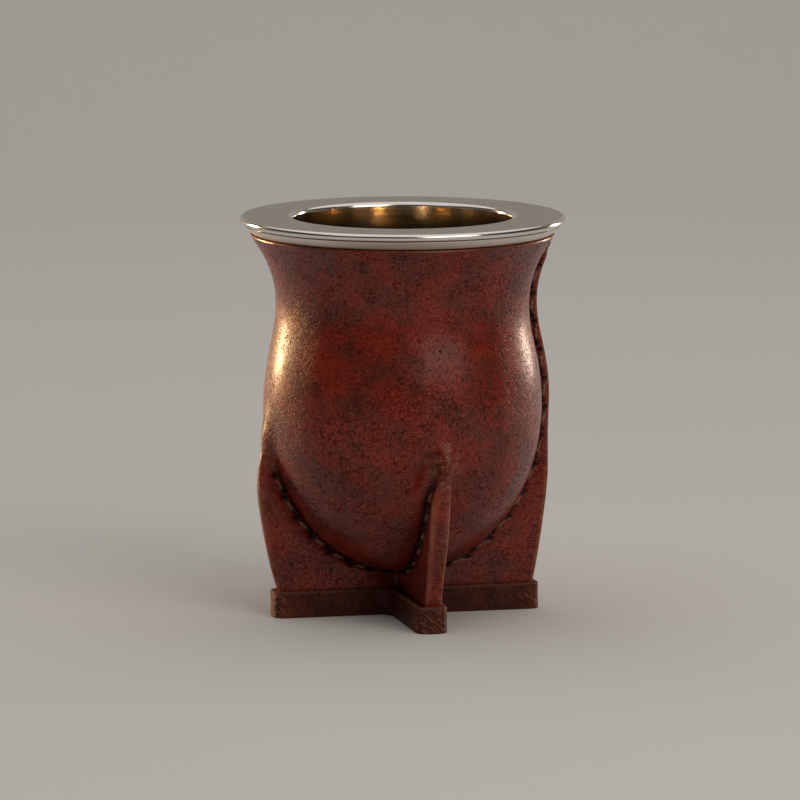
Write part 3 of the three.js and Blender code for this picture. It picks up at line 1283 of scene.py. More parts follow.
@dataclass
class StitchLine:
    """Stitches along one face of a fin, from near the axis up to the top of the seam."""

    shape: CoverShape
    fin: FinForm
    face: int
    fold_pitch: float = 6.6
    seam_pitch: float = 7.7
    inner_end: float = 4.6
    pinched_top: float = 38.5
    seam_top: float = 99.5
    samples: int = 1500
    crowding: float = 1.8
    step: float = 0.1

    @property
    def pitch(self) -> float:
        """Length of one stitch and one gap."""
        return self.seam_pitch if self.fin.is_seam else self.fold_pitch

    def route(self) -> Array:
        """Points on the surface in the angle between the fin's face and the gourd, evenly spaced.

        Returns:
            Points in millimetres, from the bottom up.
        """
        bottom = self.shape.gourd.bottom
        top = self.seam_top if self.fin.is_seam else self.pinched_top
        height = bottom + (top - bottom) * np.linspace(0.0, 1.0, self.samples) ** self.crowding
        along = self.fin.joint_reach(height)
        slope = np.gradient(along, height)
        tilt = np.hypot(1.0, slope)
        along, height = along + self.fin.seat / tilt, height - self.fin.seat * slope / tilt
        kept = along > self.inner_end
        height, along = height[kept], along[kept]
        x, y = self.fin.world(along, self.face * self.fin.half_thickness(height), height)
        points = self.shape.settle(np.stack([x, y, height], axis=1))
        travelled = lengths_along(points)
        even = np.arange(0.0, travelled[-1], self.step)
        return np.stack([np.interp(even, travelled, axis) for axis in points.T], axis=1)


@dataclass
class Stitching:
    """Waxed two-ply thread sewn along every fin, through holes in the leather."""

    shape: CoverShape
    plies: int = 2
    ply_radius: float = 0.23
    ply_orbit: float = 0.2
    twist_pitch: float = 2.1
    visible: float = 0.79
    sink: float = 0.75
    proud: float = 0.26
    fullness: float = 0.7
    slant: float = 0.34
    stations: int = 17
    sides: int = 8

    def __post_init__(self) -> None:
        """Lay out every stitch and its two holes."""
        self.holes: list[Array] = []
        self.stitches: dict[FinSide, list[Array]] = {side: [] for side in FinSide}
        for fin in self.shape.fins:
            for face in (1, -1):
                self._lay(StitchLine(self.shape, fin, face))

    def _lay(self, line: StitchLine) -> None:
        """Cut one line into stitches.

        Args:
            line: The line to be sewn.
        """
        route = line.route()
        out = self.shape.outward(route)
        ahead = np.gradient(route, axis=0)
        ahead /= np.linalg.norm(ahead, axis=1, keepdims=True)
        aside = np.cross(out, ahead)
        per_stitch = int(line.pitch / line.step)
        length = int(per_stitch * self.visible)
        start = (len(route) - 1 - length) % per_stitch
        share = np.linspace(0.0, 1.0, self.stations)
        lift = -self.sink + (self.sink + self.proud) * np.sin(np.pi * share) ** self.fullness
        lean = line.face * self.slant * (2.0 * share - 1.0)
        for first in range(start, len(route) - length, per_stitch):
            picked = np.linspace(first, first + length, self.stations).astype(int)
            on_skin = route[picked] + aside[picked] * lean[:, None]
            path = self.shape.pinch(on_skin + out[picked] * lift[:, None])
            self.stitches[line.fin.side].append(path)
            self.holes.extend(self.shape.pinch(on_skin[[0, -1]]))

    def _ply(self, bm: BMesh, path: Array, phase: float) -> None:
        """Sweep one ply of a stitch along its path.

        Args:
            bm: The mesh being made.
            path: Centre line of the stitch.
            phase: Turn of this ply round the centre line, in radians.
        """
        last = None
        for point, way, distance in zip(path, np.gradient(path, axis=0), lengths_along(path)):
            facing = Vector(way).to_track_quat("Z", "Y").to_matrix().to_4x4()
            turn = phase + FULL_TURN * distance / self.twist_pitch
            offset = Vector((math.cos(turn), math.sin(turn), 0.0)) * self.ply_orbit
            place = Matrix.Translation(Vector(point)) @ facing @ Matrix.Translation(offset)
            ring = bmesh.ops.create_circle(
                bm, cap_ends=last is None, segments=self.sides, radius=self.ply_radius, matrix=place
            )["verts"]
            edges = {edge for vert in ring for edge in vert.link_edges if edge.other_vert(vert) in ring}
            if last is not None:
                bmesh.ops.bridge_loops(bm, edges=[*last, *edges])
            last = list(edges)
        bmesh.ops.contextual_create(bm, geom=last)

    def build(self, material: Material) -> None:
        """Make the thread of each fin as one piece.

        Args:
            material: The thread's material.
        """
        # crown mask: where the thread's painted highlight goes, highest at the middle of each stitch
        crown = np.repeat(np.sin(np.linspace(0.0, np.pi, self.stations)), self.sides)
        for side, paths in self.stitches.items():
            bm = bmesh.new()
            for path in paths:
                for ply in range(self.plies):
                    self._ply(bm, path, ply * FULL_TURN / self.plies)
            bmesh.ops.recalc_face_normals(bm, faces=bm.faces)
            name = f"stitches_{side.label}"
            mesh = mesh_from(bm, name)
            paint(mesh, Mark.CROWN, np.tile(crown, self.plies * len(paths)))
            nodes = [f"thread_{side.label}_{face}" for face in "ab"]
            finish_piece(name, mesh, [material], nodes)


@dataclass
class LeatherCover:
    """The leather cover, moulded over the gourd and pinched into fins.

    Each swell is its depth, its size and the seed of its pattern.
    """

    shape: CoverShape
    holes: list[Array]
    foot: float = 0.4
    foot_edge: float = 0.35
    foot_rows: int = 15
    root_height: float = 10.0
    root_rows: int = 6
    underside: tuple[float, ...] = (0.0, 0.3, 0.65, 0.985)
    sections: int = 8
    columns_per_section: int = 48
    samples_per_section: int = 150
    arc_samples: int = 4000
    bowl_start: float = 1.0
    bowl_step: float = 0.53
    upper_step: float = 0.56
    turn_weight: float = 2.4
    brim_corner: float = 0.12
    brim_edge: float = 0.45
    brim_width: float = 2.5
    cup_room: float = 30.2
    cup_room_wall: float = 80.0
    cup_room_top: float = 55.0
    cup_room_bottom: float = 15.7
    cup_room_rows: int = 8
    swells: tuple[Triple, ...] = ((0.2, 17.0, 3.1), (0.06, 6.0, 8.2))
    wrinkle: Triple = (0.26, 2.8, 5.7)
    wrinkle_squash: Triple = (1.0, 1.0, 1.7)
    wrinkle_slant: float = 0.35
    wrinkle_width: float = 4.2
    wrinkle_height: float = 43.0
    wrinkle_length: float = 5.0
    hollow_aside: float = 4.6
    hollow_width: float = 2.1
    hollow_height: float = 41.0
    hollow_length: float = 4.6
    near_axis: float = 2.0
    fin_outer: float = 20.0
    crest_outer: float = 25.0
    sewn_near: float = 1.2
    sewn_band: float = 4.0
    stitches_end: Range = (37.0, 44.0)
    crease_spread: float = 0.8
    crease_depth: float = 0.12
    flush_spread: float = 14.0
    cut_edge: Range = (0.95, 0.35)
    cut_half: float = 2.4
    split_depth: float = 0.65
    split_width: float = 0.22
    split_edge: float = 0.5
    corner_aside: float = 2.2
    corner_width: float = 0.8
    corner_edge: float = 1.1
    corner_top: float = 47.0
    strain_width: float = 4.0
    strain_height: float = 43.5
    strain_length: float = 5.0
    raw_brim: Range = (0.5, 0.25)
    hole_radius: float = 0.85
    hole_steepness: float = 4.0
    hole_depth: float = 0.35
    smooth_collar: Range = (98.0, 101.0)
    smooth_foot: Range = (6.0, 12.0)

    def _heights(self) -> Array:
        """Heights of the rows up the outside, closer where the gourd's underside is flat.

        Returns:
            Heights in millimetres, from the bottom up.
        """
        gourd = self.shape.gourd
        feet = np.linspace(self.foot + self.foot_edge, self.root_height, self.foot_rows)
        turn = np.linspace(0.0, np.pi / 2.0, self.arc_samples)
        arc_height = gourd.belly_height - (gourd.belly_height - gourd.bottom) * np.cos(turn)
        travelled = lengths_along(np.stack([gourd.belly_radius * np.sin(turn), arc_height], axis=1))
        bowl = np.interp(np.arange(self.bowl_start, travelled[-1], self.bowl_step), travelled, arc_height)
        root = np.linspace(self.root_height, bowl[0], self.root_rows + 2)[1:-1]
        upper_rows = int((gourd.top - gourd.belly_height) / self.upper_step)
        upper = np.linspace(gourd.belly_height, gourd.top - self.brim_edge, upper_rows)
        return np.concatenate([feet, root, bowl, upper])

    def _section_turns(self, heights: Array) -> Array:
        """Angles round the axis at which the outline is worked out, closer at the middle of each fin.

        Args:
            heights: Height of each row.

        Returns:
            A table of angles in radians, rows by samples.
        """
        share = np.linspace(0.0, 1.0, self.samples_per_section + 1) ** 2
        half = FULL_TURN / self.sections
        parts = []
        for fin in self.shape.fins:
            quarter = fin.side.turn
            reach = np.maximum(fin.reach(heights), self.shape.gourd.belly_radius)
            middle = (quarter + np.arctan2(fin.lean(heights), reach))[:, None]
            before = middle + (quarter - half - middle) * share[::-1]
            after = middle + (quarter + half - middle) * share
            parts += [before[:, :-1], after[:, :-1]]
        return np.concatenate(parts, axis=1)

    def _outer_rows(self, heights: Array) -> Array:
        """Places of the outer rows, with columns spread by length and by turning.

        Args:
            heights: Height of each row.

        Returns:
            A table of points, rows by columns.
        """
        turns = self._section_turns(heights)
        reach = self.shape.outline(heights[:, None], turns)
        x, y = reach * np.cos(turns), reach * np.sin(turns)
        per_section, samples = self.columns_per_section, self.samples_per_section
        closed = np.append(turns, turns[:, :1] + FULL_TURN, axis=1)
        wanted = np.arange(per_section) / per_section
        placed = np.empty((len(heights), self.sections * per_section))
        for section in range(self.sections):
            picked = np.arange(section * samples, (section + 1) * samples + 1)
            step_x = np.diff(x[:, picked % turns.shape[1]], axis=1)
            step_y = np.diff(y[:, picked % turns.shape[1]], axis=1)
            facing = np.unwrap(np.arctan2(step_y, step_x), axis=1)
            bend = np.abs(np.diff(facing, axis=1, prepend=facing[:, :1]))
            measure = np.cumsum(np.hypot(step_x, step_y) + self.turn_weight * bend, axis=1)
            measure = np.pad(measure, ((0, 0), (1, 0)))
            columns = slice(section * per_section, (section + 1) * per_section)
            for row, passed in enumerate(measure):
                placed[row, columns] = np.interp(wanted * passed[-1], passed, closed[row, picked])
        reach = self.shape.outline(heights[:, None], placed)
        level = np.broadcast_to(heights[:, None], reach.shape)
        return np.stack([reach * np.cos(placed), reach * np.sin(placed), level], axis=2)

    def _inner_rows(self, brim: Array) -> list[Array]:
        """Places of the rows over the brim and down inside, where the cup sits.

        Args:
            brim: The highest row of the outside.

        Returns:
            Rows of points, from the outside in.
        """
        top = self.shape.gourd.top
        depth = self.cup_room_top - self.cup_room_bottom
        reach = np.hypot(brim[:, 0], brim[:, 1])
        brim_lines = [
            (reach - self.brim_corner, top - self.brim_corner),
            (reach - self.brim_edge, top),
            (reach - self.brim_width, top),
        ]
        room = [(self.cup_room, top), (self.cup_room, self.cup_room_wall)]
        for angle in np.linspace(0.0, math.pi / 2.0, self.cup_room_rows):
            room.append((self.cup_room * math.cos(angle), self.cup_room_top - depth * math.sin(angle)))
        direction = brim[:, :2] / reach[:, None]
        rows = []
        for radius, height in [*brim_lines, *room]:
            level = np.full_like(reach, height)
            rows.append(np.column_stack([direction * np.broadcast_to(radius, reach.shape)[:, None], level]))
        return rows

    def _rows(self) -> tuple[Array, slice]:
        """Places of all rows from the underside's middle to the cup room's bottom.

        Returns:
            The table of points and the stretch of rows on the outside.
        """
        outer = self._outer_rows(self._heights())
        outer = self.shape.pinch(outer.reshape(-1, 3)).reshape(outer.shape)
        under = []
        for share in self.underside:
            row = outer[0] * share
            row[:, 2] = self.foot
            under.append(row)
        rows = np.concatenate([np.array(under), outer, np.array(self._inner_rows(outer[-1]))])
        return rows, slice(len(under), len(under) + len(outer))

    def _relief(self, points: Array) -> Array:
        """How far each point stands out of the even form.

        Args:
            points: Points on the outside.

        Returns:
            One distance per point.
        """
        height = points[:, 2]
        lift = sum(depth * noise_at(points, size, seed) for depth, size, seed in self.swells)
        depth, size, seed = self.wrinkle
        for fin in self.shape.fins:
            if fin.is_seam:
                continue
            along, across = fin.local(*points.T)
            outer = along > self.crest_outer
            near = bell(across, self.wrinkle_width) * bell(height - self.wrinkle_height, self.wrinkle_length)
            bent = points * self.wrinkle_squash + self.wrinkle_slant * across[:, None]
            lift += depth * fin.strain * near * outer * noise_at(bent, size, seed + fin.side.value)
            beside = bell(np.abs(across) - self.hollow_aside, self.hollow_width)
            beside *= bell(height - self.hollow_height, self.hollow_length)
            lift -= np.where(across < 0.0, *fin.hollows) * beside * outer
        return lift

    def _marks(self, points: Array) -> dict[Mark, Array]:
        """Masks for the material.

        Args:
            points: All vertices, before relief.

        Returns:
            One value per vertex for each mask.
        """
        x, y, height = points.T
        gourd = np.abs(self.shape.gourd.distance(np.hypot(x, y), height))
        marks = {mark: np.zeros(len(points)) for mark in LeatherFinish.MASKS}
        sewn = np.zeros(len(points), bool)
        for fin in self.shape.fins:
            along, across = fin.local(x, y, height)
            near = np.abs(fin.distance(along, across, height))
            clear = along > self.near_axis
            sewn |= (near < self.sewn_near) & (gourd < self.sewn_band) & clear
            stitched = clear * (1.0 if fin.is_seam else 1.0 - smoothstep(height, *self.stitches_end))
            from_joint = gourd**2 + near**2
            edge = fin.reach(height) - along
            painted = {
                # CREASE: where painted shade goes along the joint of fin and gourd; it also sinks a shallow
                # groove there
                Mark.CREASE: np.exp(-from_joint / self.crease_spread) * stitched,
                Mark.FLUSH: np.exp(-from_joint / self.flush_spread) * stitched,
            }
            if fin.is_seam:
                flat = (np.abs(across) < self.cut_half) & (along > self.fin_outer)
                painted[Mark.RAW] = smoothstep(edge, *self.cut_edge) * flat
            else:
                # FOLD: fold corners, real scuffing with a painted highlight
                corner = bell(np.abs(across) - self.corner_aside, self.corner_width)
                lower = (height < self.corner_top) & (along > self.fin_outer)
                painted[Mark.FOLD] = corner * bell(edge, self.corner_edge) * lower
                # STRAIN: wrinkles at the fold's top, with a bump and a painted highlight
                tip = bell(across, self.strain_width) * bell(height - self.strain_height, self.strain_length)
                painted[Mark.STRAIN] = fin.strain * tip * (along > self.crest_outer)
            for mark, values in painted.items():
                np.maximum(marks[mark], values, out=marks[mark])
        top = self.shape.gourd.top
        brim = smoothstep(height, *(top - below for below in self.raw_brim))
        np.maximum(marks[Mark.RAW], brim, out=marks[Mark.RAW])
        # hole mask: where painted shade goes in the stitch holes, which are also sunk
        marks[Mark.HOLE][sewn] = self._hole_mask(points[sewn])
        return marks

    def _hole_mask(self, points: Array) -> Array:
        """How far each point lies within a stitch hole, from 0 to 1.

        Args:
            points: Points near the stitches.

        Returns:
            One value per point.
        """
        tree = kdtree.KDTree(len(self.holes))
        for index, hole in enumerate(self.holes):
            tree.insert(hole, index)
        tree.balance()
        reach = np.array([tree.find(point)[2] for point in points])
        return np.exp(-((reach / self.hole_radius) ** self.hole_steepness))

    def _lift(self, points: Array, marks: dict[Mark, Array], shown: Array) -> Array:
        """How far each point moves out of the even form, with holes, creases and the seam's split.

        Args:
            points: All vertices on the even form.
            marks: The painted masks.
            shown: Which vertices are on the outside.

        Returns:
            One distance per point.
        """
        lift = np.zeros(len(points))
        lift[shown] = self._relief(points[shown])
        lift *= 1.0 - smoothstep(points[:, 2], *self.smooth_collar)
        lift *= smoothstep(points[:, 2], *self.smooth_foot)
        lift -= self.hole_depth * marks[Mark.HOLE] + self.crease_depth * marks[Mark.CREASE]
        seam = self.shape.fins[FinSide.SEAM.value]
        along, across = seam.local(*points.T)
        cut = (seam.reach(points[:, 2]) - along < self.split_edge) & (along > self.fin_outer)
        lift -= self.split_depth * bell(across, self.split_width) * cut
        return lift * shown

    def build(self, material: Material) -> None:
        """Spin a plain tube and mould it into the cover.

        Args:
            material: The cover's leather.
        """
        rows, outside = self._rows()
        count, columns = rows.shape[:2]
        bm = bmesh.new()
        spin_round(bm, [(1.0, 0.0, float(row)) for row in range(count)], columns)
        for end in (0, count - 1):
            ring = [vert for vert in bm.verts if round(vert.co.z) == end]
            bmesh.ops.pointmerge(bm, verts=ring, merge_co=(0.0, 0.0, float(end)))
        bmesh.ops.recalc_face_normals(bm, faces=bm.faces)
        mesh = mesh_from(bm, "cover")

        plain = vertices_of(mesh)
        row = np.rint(plain[:, 2]).astype(int)
        turn = np.arctan2(plain[:, 1], plain[:, 0]) / FULL_TURN
        column = np.rint(turn * columns).astype(int) + self.columns_per_section
        moulded = rows[row, column % columns]
        moulded[(row == 0) | (row == count - 1), :2] = 0.0
        move_vertices(mesh, moulded)
        marks = self._marks(moulded)
        shown = (row >= outside.start) & (row < outside.stop)
        lift = self._lift(moulded, marks, shown)
        move_vertices(mesh, moulded + normals_of(mesh) * lift[:, None])
        for mark, values in marks.items():
            paint(mesh, mark, values)
        finish_piece("leather_cover_skin", mesh, [material], ["leather_cover"])


@dataclass
class SteelCup:
    """Steel cup with a flat rim, a rounded edge, a tapered skirt and a straight bore."""

    height: float = 106.0
    rim_radius: float = 43.1
    bead: float = 0.95
    bead_start: float = -110.0
    bead_steps: int = 18
    flat_break: float = 0.3
    flat_middle: float = 36.0
    skirt_top_radius: float = 42.15
    skirt_top: float = 103.75
    skirt_foot_radius: float = 39.95
    skirt_foot: float = 101.7
    skirt_break: float = 0.2
    corner: float = 0.12
    groove_rise: float = 0.2
    groove_break: float = 0.14
    groove_depth: float = 0.6
    mouth: float = 28.9
    lip: float = 1.2
    lip_break: float = 0.2
    lip_steps: int = 9
    wall: float = 1.0
    bore_rings: tuple[float, ...] = (100.0, 92.0, 80.0, 66.0)
    bowl_top: float = 55.0
    bowl_depth: float = 38.0
    bowl_steps: int = 24
    steps: int = 192
    weld: float = 0.0001
    near: float = 0.05
    level: float = 0.002
    sharp_degrees: float = 35.0

    @staticmethod
    def _arc(centre: Range, reach: Range, angles: Range, steps: int) -> list[Range]:
        """Points of an arc in the plane of radius and height.

        Args:
            centre: Radius and height of the arc's centre.
            reach: Half its width and half its height.
            angles: First and last angle, in degrees.
            steps: How many steps it takes.

        Returns:
            Radius and height of each point.
        """
        turns = np.radians(np.linspace(*angles, steps + 1))
        return [(centre[0] + reach[0] * math.cos(a), centre[1] + reach[1] * math.sin(a)) for a in turns]

    def _profile(self) -> list[Triple]:
        """Points of the section from the outside bottom round to the inside bottom.

        Returns:
            The points, in the plane of X and Z.
        """
        shell = self.mouth + self.wall
        foot, top = self.skirt_foot_radius, self.skirt_top_radius
        groove = self.skirt_top + self.groove_rise
        bowl = (0.0, self.bowl_top)
        bead = (self.rim_radius - self.bead, self.height - self.bead)
        lip = (self.mouth + self.lip, self.height - self.lip)
        points = [
            *self._arc(bowl, (shell, self.bowl_depth + self.wall), (-90.0, 0.0), self.bowl_steps // 2),
            (shell, self.skirt_foot),
            (foot - self.skirt_break, self.skirt_foot),
            (foot, self.skirt_foot + self.corner),
            (top - self.corner, self.skirt_top - self.corner),
            (top, self.skirt_top),
            (top, self.skirt_top + self.corner),
            (top - self.groove_break, groove),
            (top - self.groove_depth, groove),
            *self._arc(bead, (self.bead, self.bead), (self.bead_start, 90.0), self.bead_steps),
            (bead[0] - self.flat_break, self.height),
            (self.flat_middle, self.height),
            (lip[0] + self.lip_break, self.height),
            *self._arc(lip, (self.lip, self.lip), (90.0, 180.0), self.lip_steps),
            *((self.mouth, ring) for ring in self.bore_rings),
            *self._arc(bowl, (self.mouth, self.bowl_depth), (0.0, -90.0), self.bowl_steps),
        ]
        return [(max(radius, 0.0), 0.0, height) for radius, height in points]

    def _polish_at(self, centre: Vector) -> MetalPolish:
        """Polish of the face whose middle is given.

        Args:
            centre: Middle of the face.

        Returns:
            The polish.
        """
        inside = math.hypot(centre.x, centre.y) < self.mouth + self.near
        if inside and centre.z < self.height - self.lip:
            return MetalPolish.BORE
        if centre.z > self.height - self.level:
            return MetalPolish.SATIN
        if centre.z < self.skirt_top - self.near:
            return MetalPolish.SKIRT
        return MetalPolish.POLISHED

    def build(self, materials: dict[MetalPolish, Material]) -> None:
        """Turn the section round the axis.

        Args:
            materials: A material for each polish.
        """
        kinds = list(materials)
        bm = bmesh.new()
        spin_round(bm, self._profile(), self.steps)
        bmesh.ops.remove_doubles(bm, verts=bm.verts, dist=self.weld)
        bmesh.ops.recalc_face_normals(bm, faces=bm.faces)
        for face in bm.faces:
            face.material_index = kinds.index(self._polish_at(face.calc_center_median()))
        mesh = mesh_from(bm, "cup")
        finish_piece(
            "steel_cup_turned", mesh, materials.values(), ["steel_cup"], self.sharp_degrees
        )


@dataclass
class FootBand:
    """Leather strip wrapped round the feet of the fins, with its raw edge up.

    The swell, the crumple and the wave are each a depth, a size and the seed of a pattern.
    """

    height: float = 7.0
    thickness: float = 1.2
    half_width: float = 4.1
    tip_rounding: float = 2.7
    crotch_rounding: float = 3.6
    corner_steps: int = 6
    course: float = 0.8
    rows: int = 11
    edge_break: float = 0.32
    edge_steps: int = 2
    edge_angle: float = 1.2
    weld: float = 0.01
    spans: dict[FinSide, float] = field(default_factory=lambda: {
        FinSide.SEAM: 36.7, FinSide.BACK: 36.1, FinSide.LEFT: 35.5, FinSide.FRONT: 36.1,
    })
    bend: Range = (29.0, 35.0)
    swell: Triple = (0.07, 8.0, 1.3)
    crumple: Triple = (0.13, 1.9, 6.1)
    crumple_stretch: Triple = (1.0, 1.0, 0.55)
    wave: Triple = (0.22, 7.0, 4.4)
    foot: Range = (0.0, 2.0)
    foot_share: float = 0.25
    raw_edge: Range = (0.75, 0.15)
    strain: float = 0.8

    def _outline(self, bm: BMesh) -> None:
        """Draw the cross-shaped outer line with rounded corners.

        Args:
            bm: The mesh being made.
        """
        corners, tips, crotches = [], [], []
        for side in FinSide:
            turn = Matrix.Rotation(side.turn, 4, "Z")
            for x, y, group in (
                (self.spans[side], -self.half_width, tips),
                (self.spans[side], self.half_width, tips),
                (self.half_width, self.half_width, crotches),
            ):
                vert = bm.verts.new(turn @ Vector((x, y, 0.0)))
                corners.append(vert)
                group.append(vert)
        for pair in zip(corners, corners[1:] + corners[:1]):
            bm.edges.new(pair)
        for group, rounding in ((tips, self.tip_rounding), (crotches, self.crotch_rounding)):
            round_off(bm, group, rounding, "VERTICES", self.corner_steps)
        for edge in list(bm.edges):
            cuts = int(edge.calc_length() / self.course)
            if cuts > 0:
                bmesh.ops.subdivide_edges(bm, edges=[edge], cuts=cuts)

    def _face_outwards(self, bm: BMesh) -> None:
        """Turn the open strip's faces away from the axis.

        Args:
            bm: The mesh being made.
        """
        far = max(bm.faces, key=lambda face: face.calc_center_median().x)
        if far.normal.x < 0.0:
            bmesh.ops.reverse_faces(bm, faces=bm.faces)

    def _is_top_edge(self, edge: bmesh.types.BMEdge) -> bool:
        """Whether an edge is a sharp one along the top of the strip.

        Args:
            edge: The edge.

        Returns:
            True for such an edge.
        """
        if len(edge.link_faces) != 2 or edge.calc_face_angle() <= self.edge_angle:
            return False
        return min(vert.co.z for vert in edge.verts) > self.height - self.weld

    def build(self, material: Material) -> None:
        """Raise the outline into a strip and give it its thickness.

        Args:
            material: The band's leather.
        """
        bm = bmesh.new()
        self._outline(bm)
        line = list(bm.edges)
        for _ in range(self.rows):
            line = extrude_line(bm, line, (0.0, 0.0, self.height / self.rows))
        bmesh.ops.recalc_face_normals(bm, faces=bm.faces)
        self._face_outwards(bm)
        bmesh.ops.solidify(bm, geom=list(bm.faces), thickness=self.thickness)
        bmesh.ops.recalc_face_normals(bm, faces=bm.faces)
        top_edges = [edge for edge in bm.edges if self._is_top_edge(edge)]
        round_off(bm, top_edges, self.edge_break, "EDGES", self.edge_steps)
        mesh = mesh_from(bm, "band")
        self._wrinkle(mesh)
        finish_piece("foot_band_strip", mesh, [material], ["foot_band"])

    def _wrinkle(self, mesh: Mesh) -> None:
        """Crumple the strip a little, most at the bends round the fins' ends, and paint its masks.

        Args:
            mesh: The mesh.
        """
        points, out = vertices_of(mesh), normals_of(mesh)
        bent = smoothstep(np.max(np.abs(points[:, :2]), axis=1), *self.bend)
        free = smoothstep(points[:, 2], *self.foot)
        depth, *pattern = self.swell
        lift = depth * noise_at(points, *pattern)
        depth, *pattern = self.crumple
        lift += depth * bent * noise_at(points * self.crumple_stretch, *pattern)
        points += out * (lift * (self.foot_share + (1.0 - self.foot_share) * free))[:, None]
        depth, *pattern = self.wave
        points[:, 2] += depth * free * noise_at(points * (1.0, 1.0, 0.0), *pattern)
        points[:, 2] = np.maximum(points[:, 2], 0.0)
        move_vertices(mesh, points)
        raw = smoothstep(points[:, 2], *(self.height - below for below in self.raw_edge))
        # strain: the band's wrinkles at the bends, with a bump and a painted highlight
        painted = {Mark.RAW: raw, Mark.STRAIN: self.strain * bent}
        for mark in LeatherFinish.MASKS:
            paint(mesh, mark, painted.get(mark, np.zeros(len(points))))


def towards(turn: float, lift: float) -> Vector:
    """Direction from the cup, in degrees round from its front and degrees above the floor.

    Args:
        turn: Degrees round from the front, positive to the right.
        lift: Degrees above the floor.

    Returns:
        The unit vector.
    """
    turned, lifted = math.radians(turn), math.radians(lift)
    level = math.cos(lifted)
    return Vector((math.sin(turned) * level, -math.cos(turned) * level, math.sin(lifted)))


def stand(name: str, data: bpy.types.ID, place: Vector, back: Vector) -> bpy.types.Object:
    """Stand a light or a camera in the scene.

    Args:
        name: Name of the object.
        data: The light or camera.
        place: Where it stands.
        back: Direction from what it faces towards it.

    Returns:
        The object.
    """
    stood = bpy.data.objects.new(name, data)
    stood.location = place
    stood.rotation_mode = "QUATERNION"
    stood.rotation_quaternion = back.to_track_quat("Z", "Y")
    bpy.context.scene.collection.objects.link(stood)
    return stood


@dataclass(frozen=True)
class SoftLight:
    """One soft light: degrees round from the camera and above the floor, metres, watts."""

    name: str
    turn: float
    lift: float
    away: float
    size: Range
    watts: float
    colour: Triple
    spread: float = 180.0
    cup_only: bool = False

    def hang(self, azimuth: float, aim: Vector) -> bpy.types.Object:
        """Hang the light, aimed at the cup.

        Args:
            azimuth: Degrees round to the camera.
            aim: The place it shines at.

        Returns:
            The light.
        """
        lamp = bpy.data.lights.new(self.name, "AREA")
        lamp.shape = "RECTANGLE"
        lamp.size, lamp.size_y = self.size
        lamp.energy = self.watts
        lamp.color = self.colour
        lamp.spread = math.radians(self.spread)
        way = towards(azimuth + self.turn, self.lift)
        return stand(self.name, lamp, aim + way * self.away, way)


@dataclass
class Studio:
    """Pale floor and backdrop, soft lights, and the camera at the photographed angle, in metres."""

    lamps: Iterable[SoftLight]
    azimuth: float = -13.0
    elevation: float = 8.3
    distance: float = 2.0
    sensor_width: float = 36.0
    frame_width: float = 0.2117
    aim_height: float = 0.0567
    aside: float = 0.00066
    far: float = 50.0
    floor_name: str = "studio_floor"
    floor_half: float = 2.2
    floor_front: float = 3.0
    backdrop: float = 1.5
    backdrop_height: float = 2.6
    bend: float = 0.6
    bend_steps: int = 24
    surround: Colour = (0.9, 0.88, 0.85, 1.0)
    surround_strength: float = 0.06

    @property
    def aim(self) -> Vector:
        """The place on the cup's axis that the lights and the camera face."""
        return Vector((0.0, 0.0, self.aim_height))

    def floor(self, material: Material) -> None:
        """Lay the floor and curve it up behind the cup.

        Args:
            material: The floor's material.
        """
        bm = bmesh.new()
        ends = [bm.verts.new((side * self.floor_half, -self.floor_front, 0.0)) for side in (-1.0, 1.0)]
        line = [bm.edges.new(ends)]
        for step in ((0.0, self.floor_front + self.backdrop, 0.0), (0.0, 0.0, self.backdrop_height)):
            line = extrude_line(bm, line, step)
        corner = [edge for edge in bm.edges if len(edge.link_faces) == 2]
        round_off(bm, corner, self.bend, "EDGES", self.bend_steps)
        turn = Matrix.Rotation(math.radians(self.azimuth), 3, "Z")
        bmesh.ops.rotate(bm, verts=bm.verts, cent=(0, 0, 0), matrix=turn)
        mesh = mesh_from(bm, self.floor_name)
        mesh.materials.append(material)
        mesh.shade_smooth()
        floor = bpy.data.objects.new(self.floor_name, mesh)
        bpy.context.scene.collection.objects.link(floor)

    def lights(self) -> None:
        """Hang the lights, some of them for the cup alone, and set the soft surrounding light."""
        cup = bpy.data.collections.new("cup_only")
        for thing in bpy.context.scene.objects:
            if thing.type == "MESH" and thing.name != self.floor_name:
                cup.objects.link(thing)
        for lamp in self.lamps:
            hung = lamp.hang(self.azimuth, self.aim)
            if lamp.cup_only:
                hung.light_linking.receiver_collection = cup
        world = bpy.data.worlds.new("studio")
        world.use_nodes = True
        background = world.node_tree.nodes["Background"].inputs
        background["Color"].default_value = self.surround
        background["Strength"].default_value = self.surround_strength
        bpy.context.scene.world = world

    def camera(self) -> None:
        """Set the camera, far off with a long lens."""
        back = towards(self.azimuth, self.elevation)
        turned = math.radians(self.azimuth)
        right = Vector((math.cos(turned), math.sin(turned), 0.0))
        lens = bpy.data.cameras.new("camera")
        lens.sensor_width = self.sensor_width
        lens.lens = self.sensor_width * self.distance / self.frame_width
        lens.clip_end = self.far
        place = self.aim - right * self.aside + back * self.distance
        bpy.context.scene.camera = stand("camera", lens, place, back)


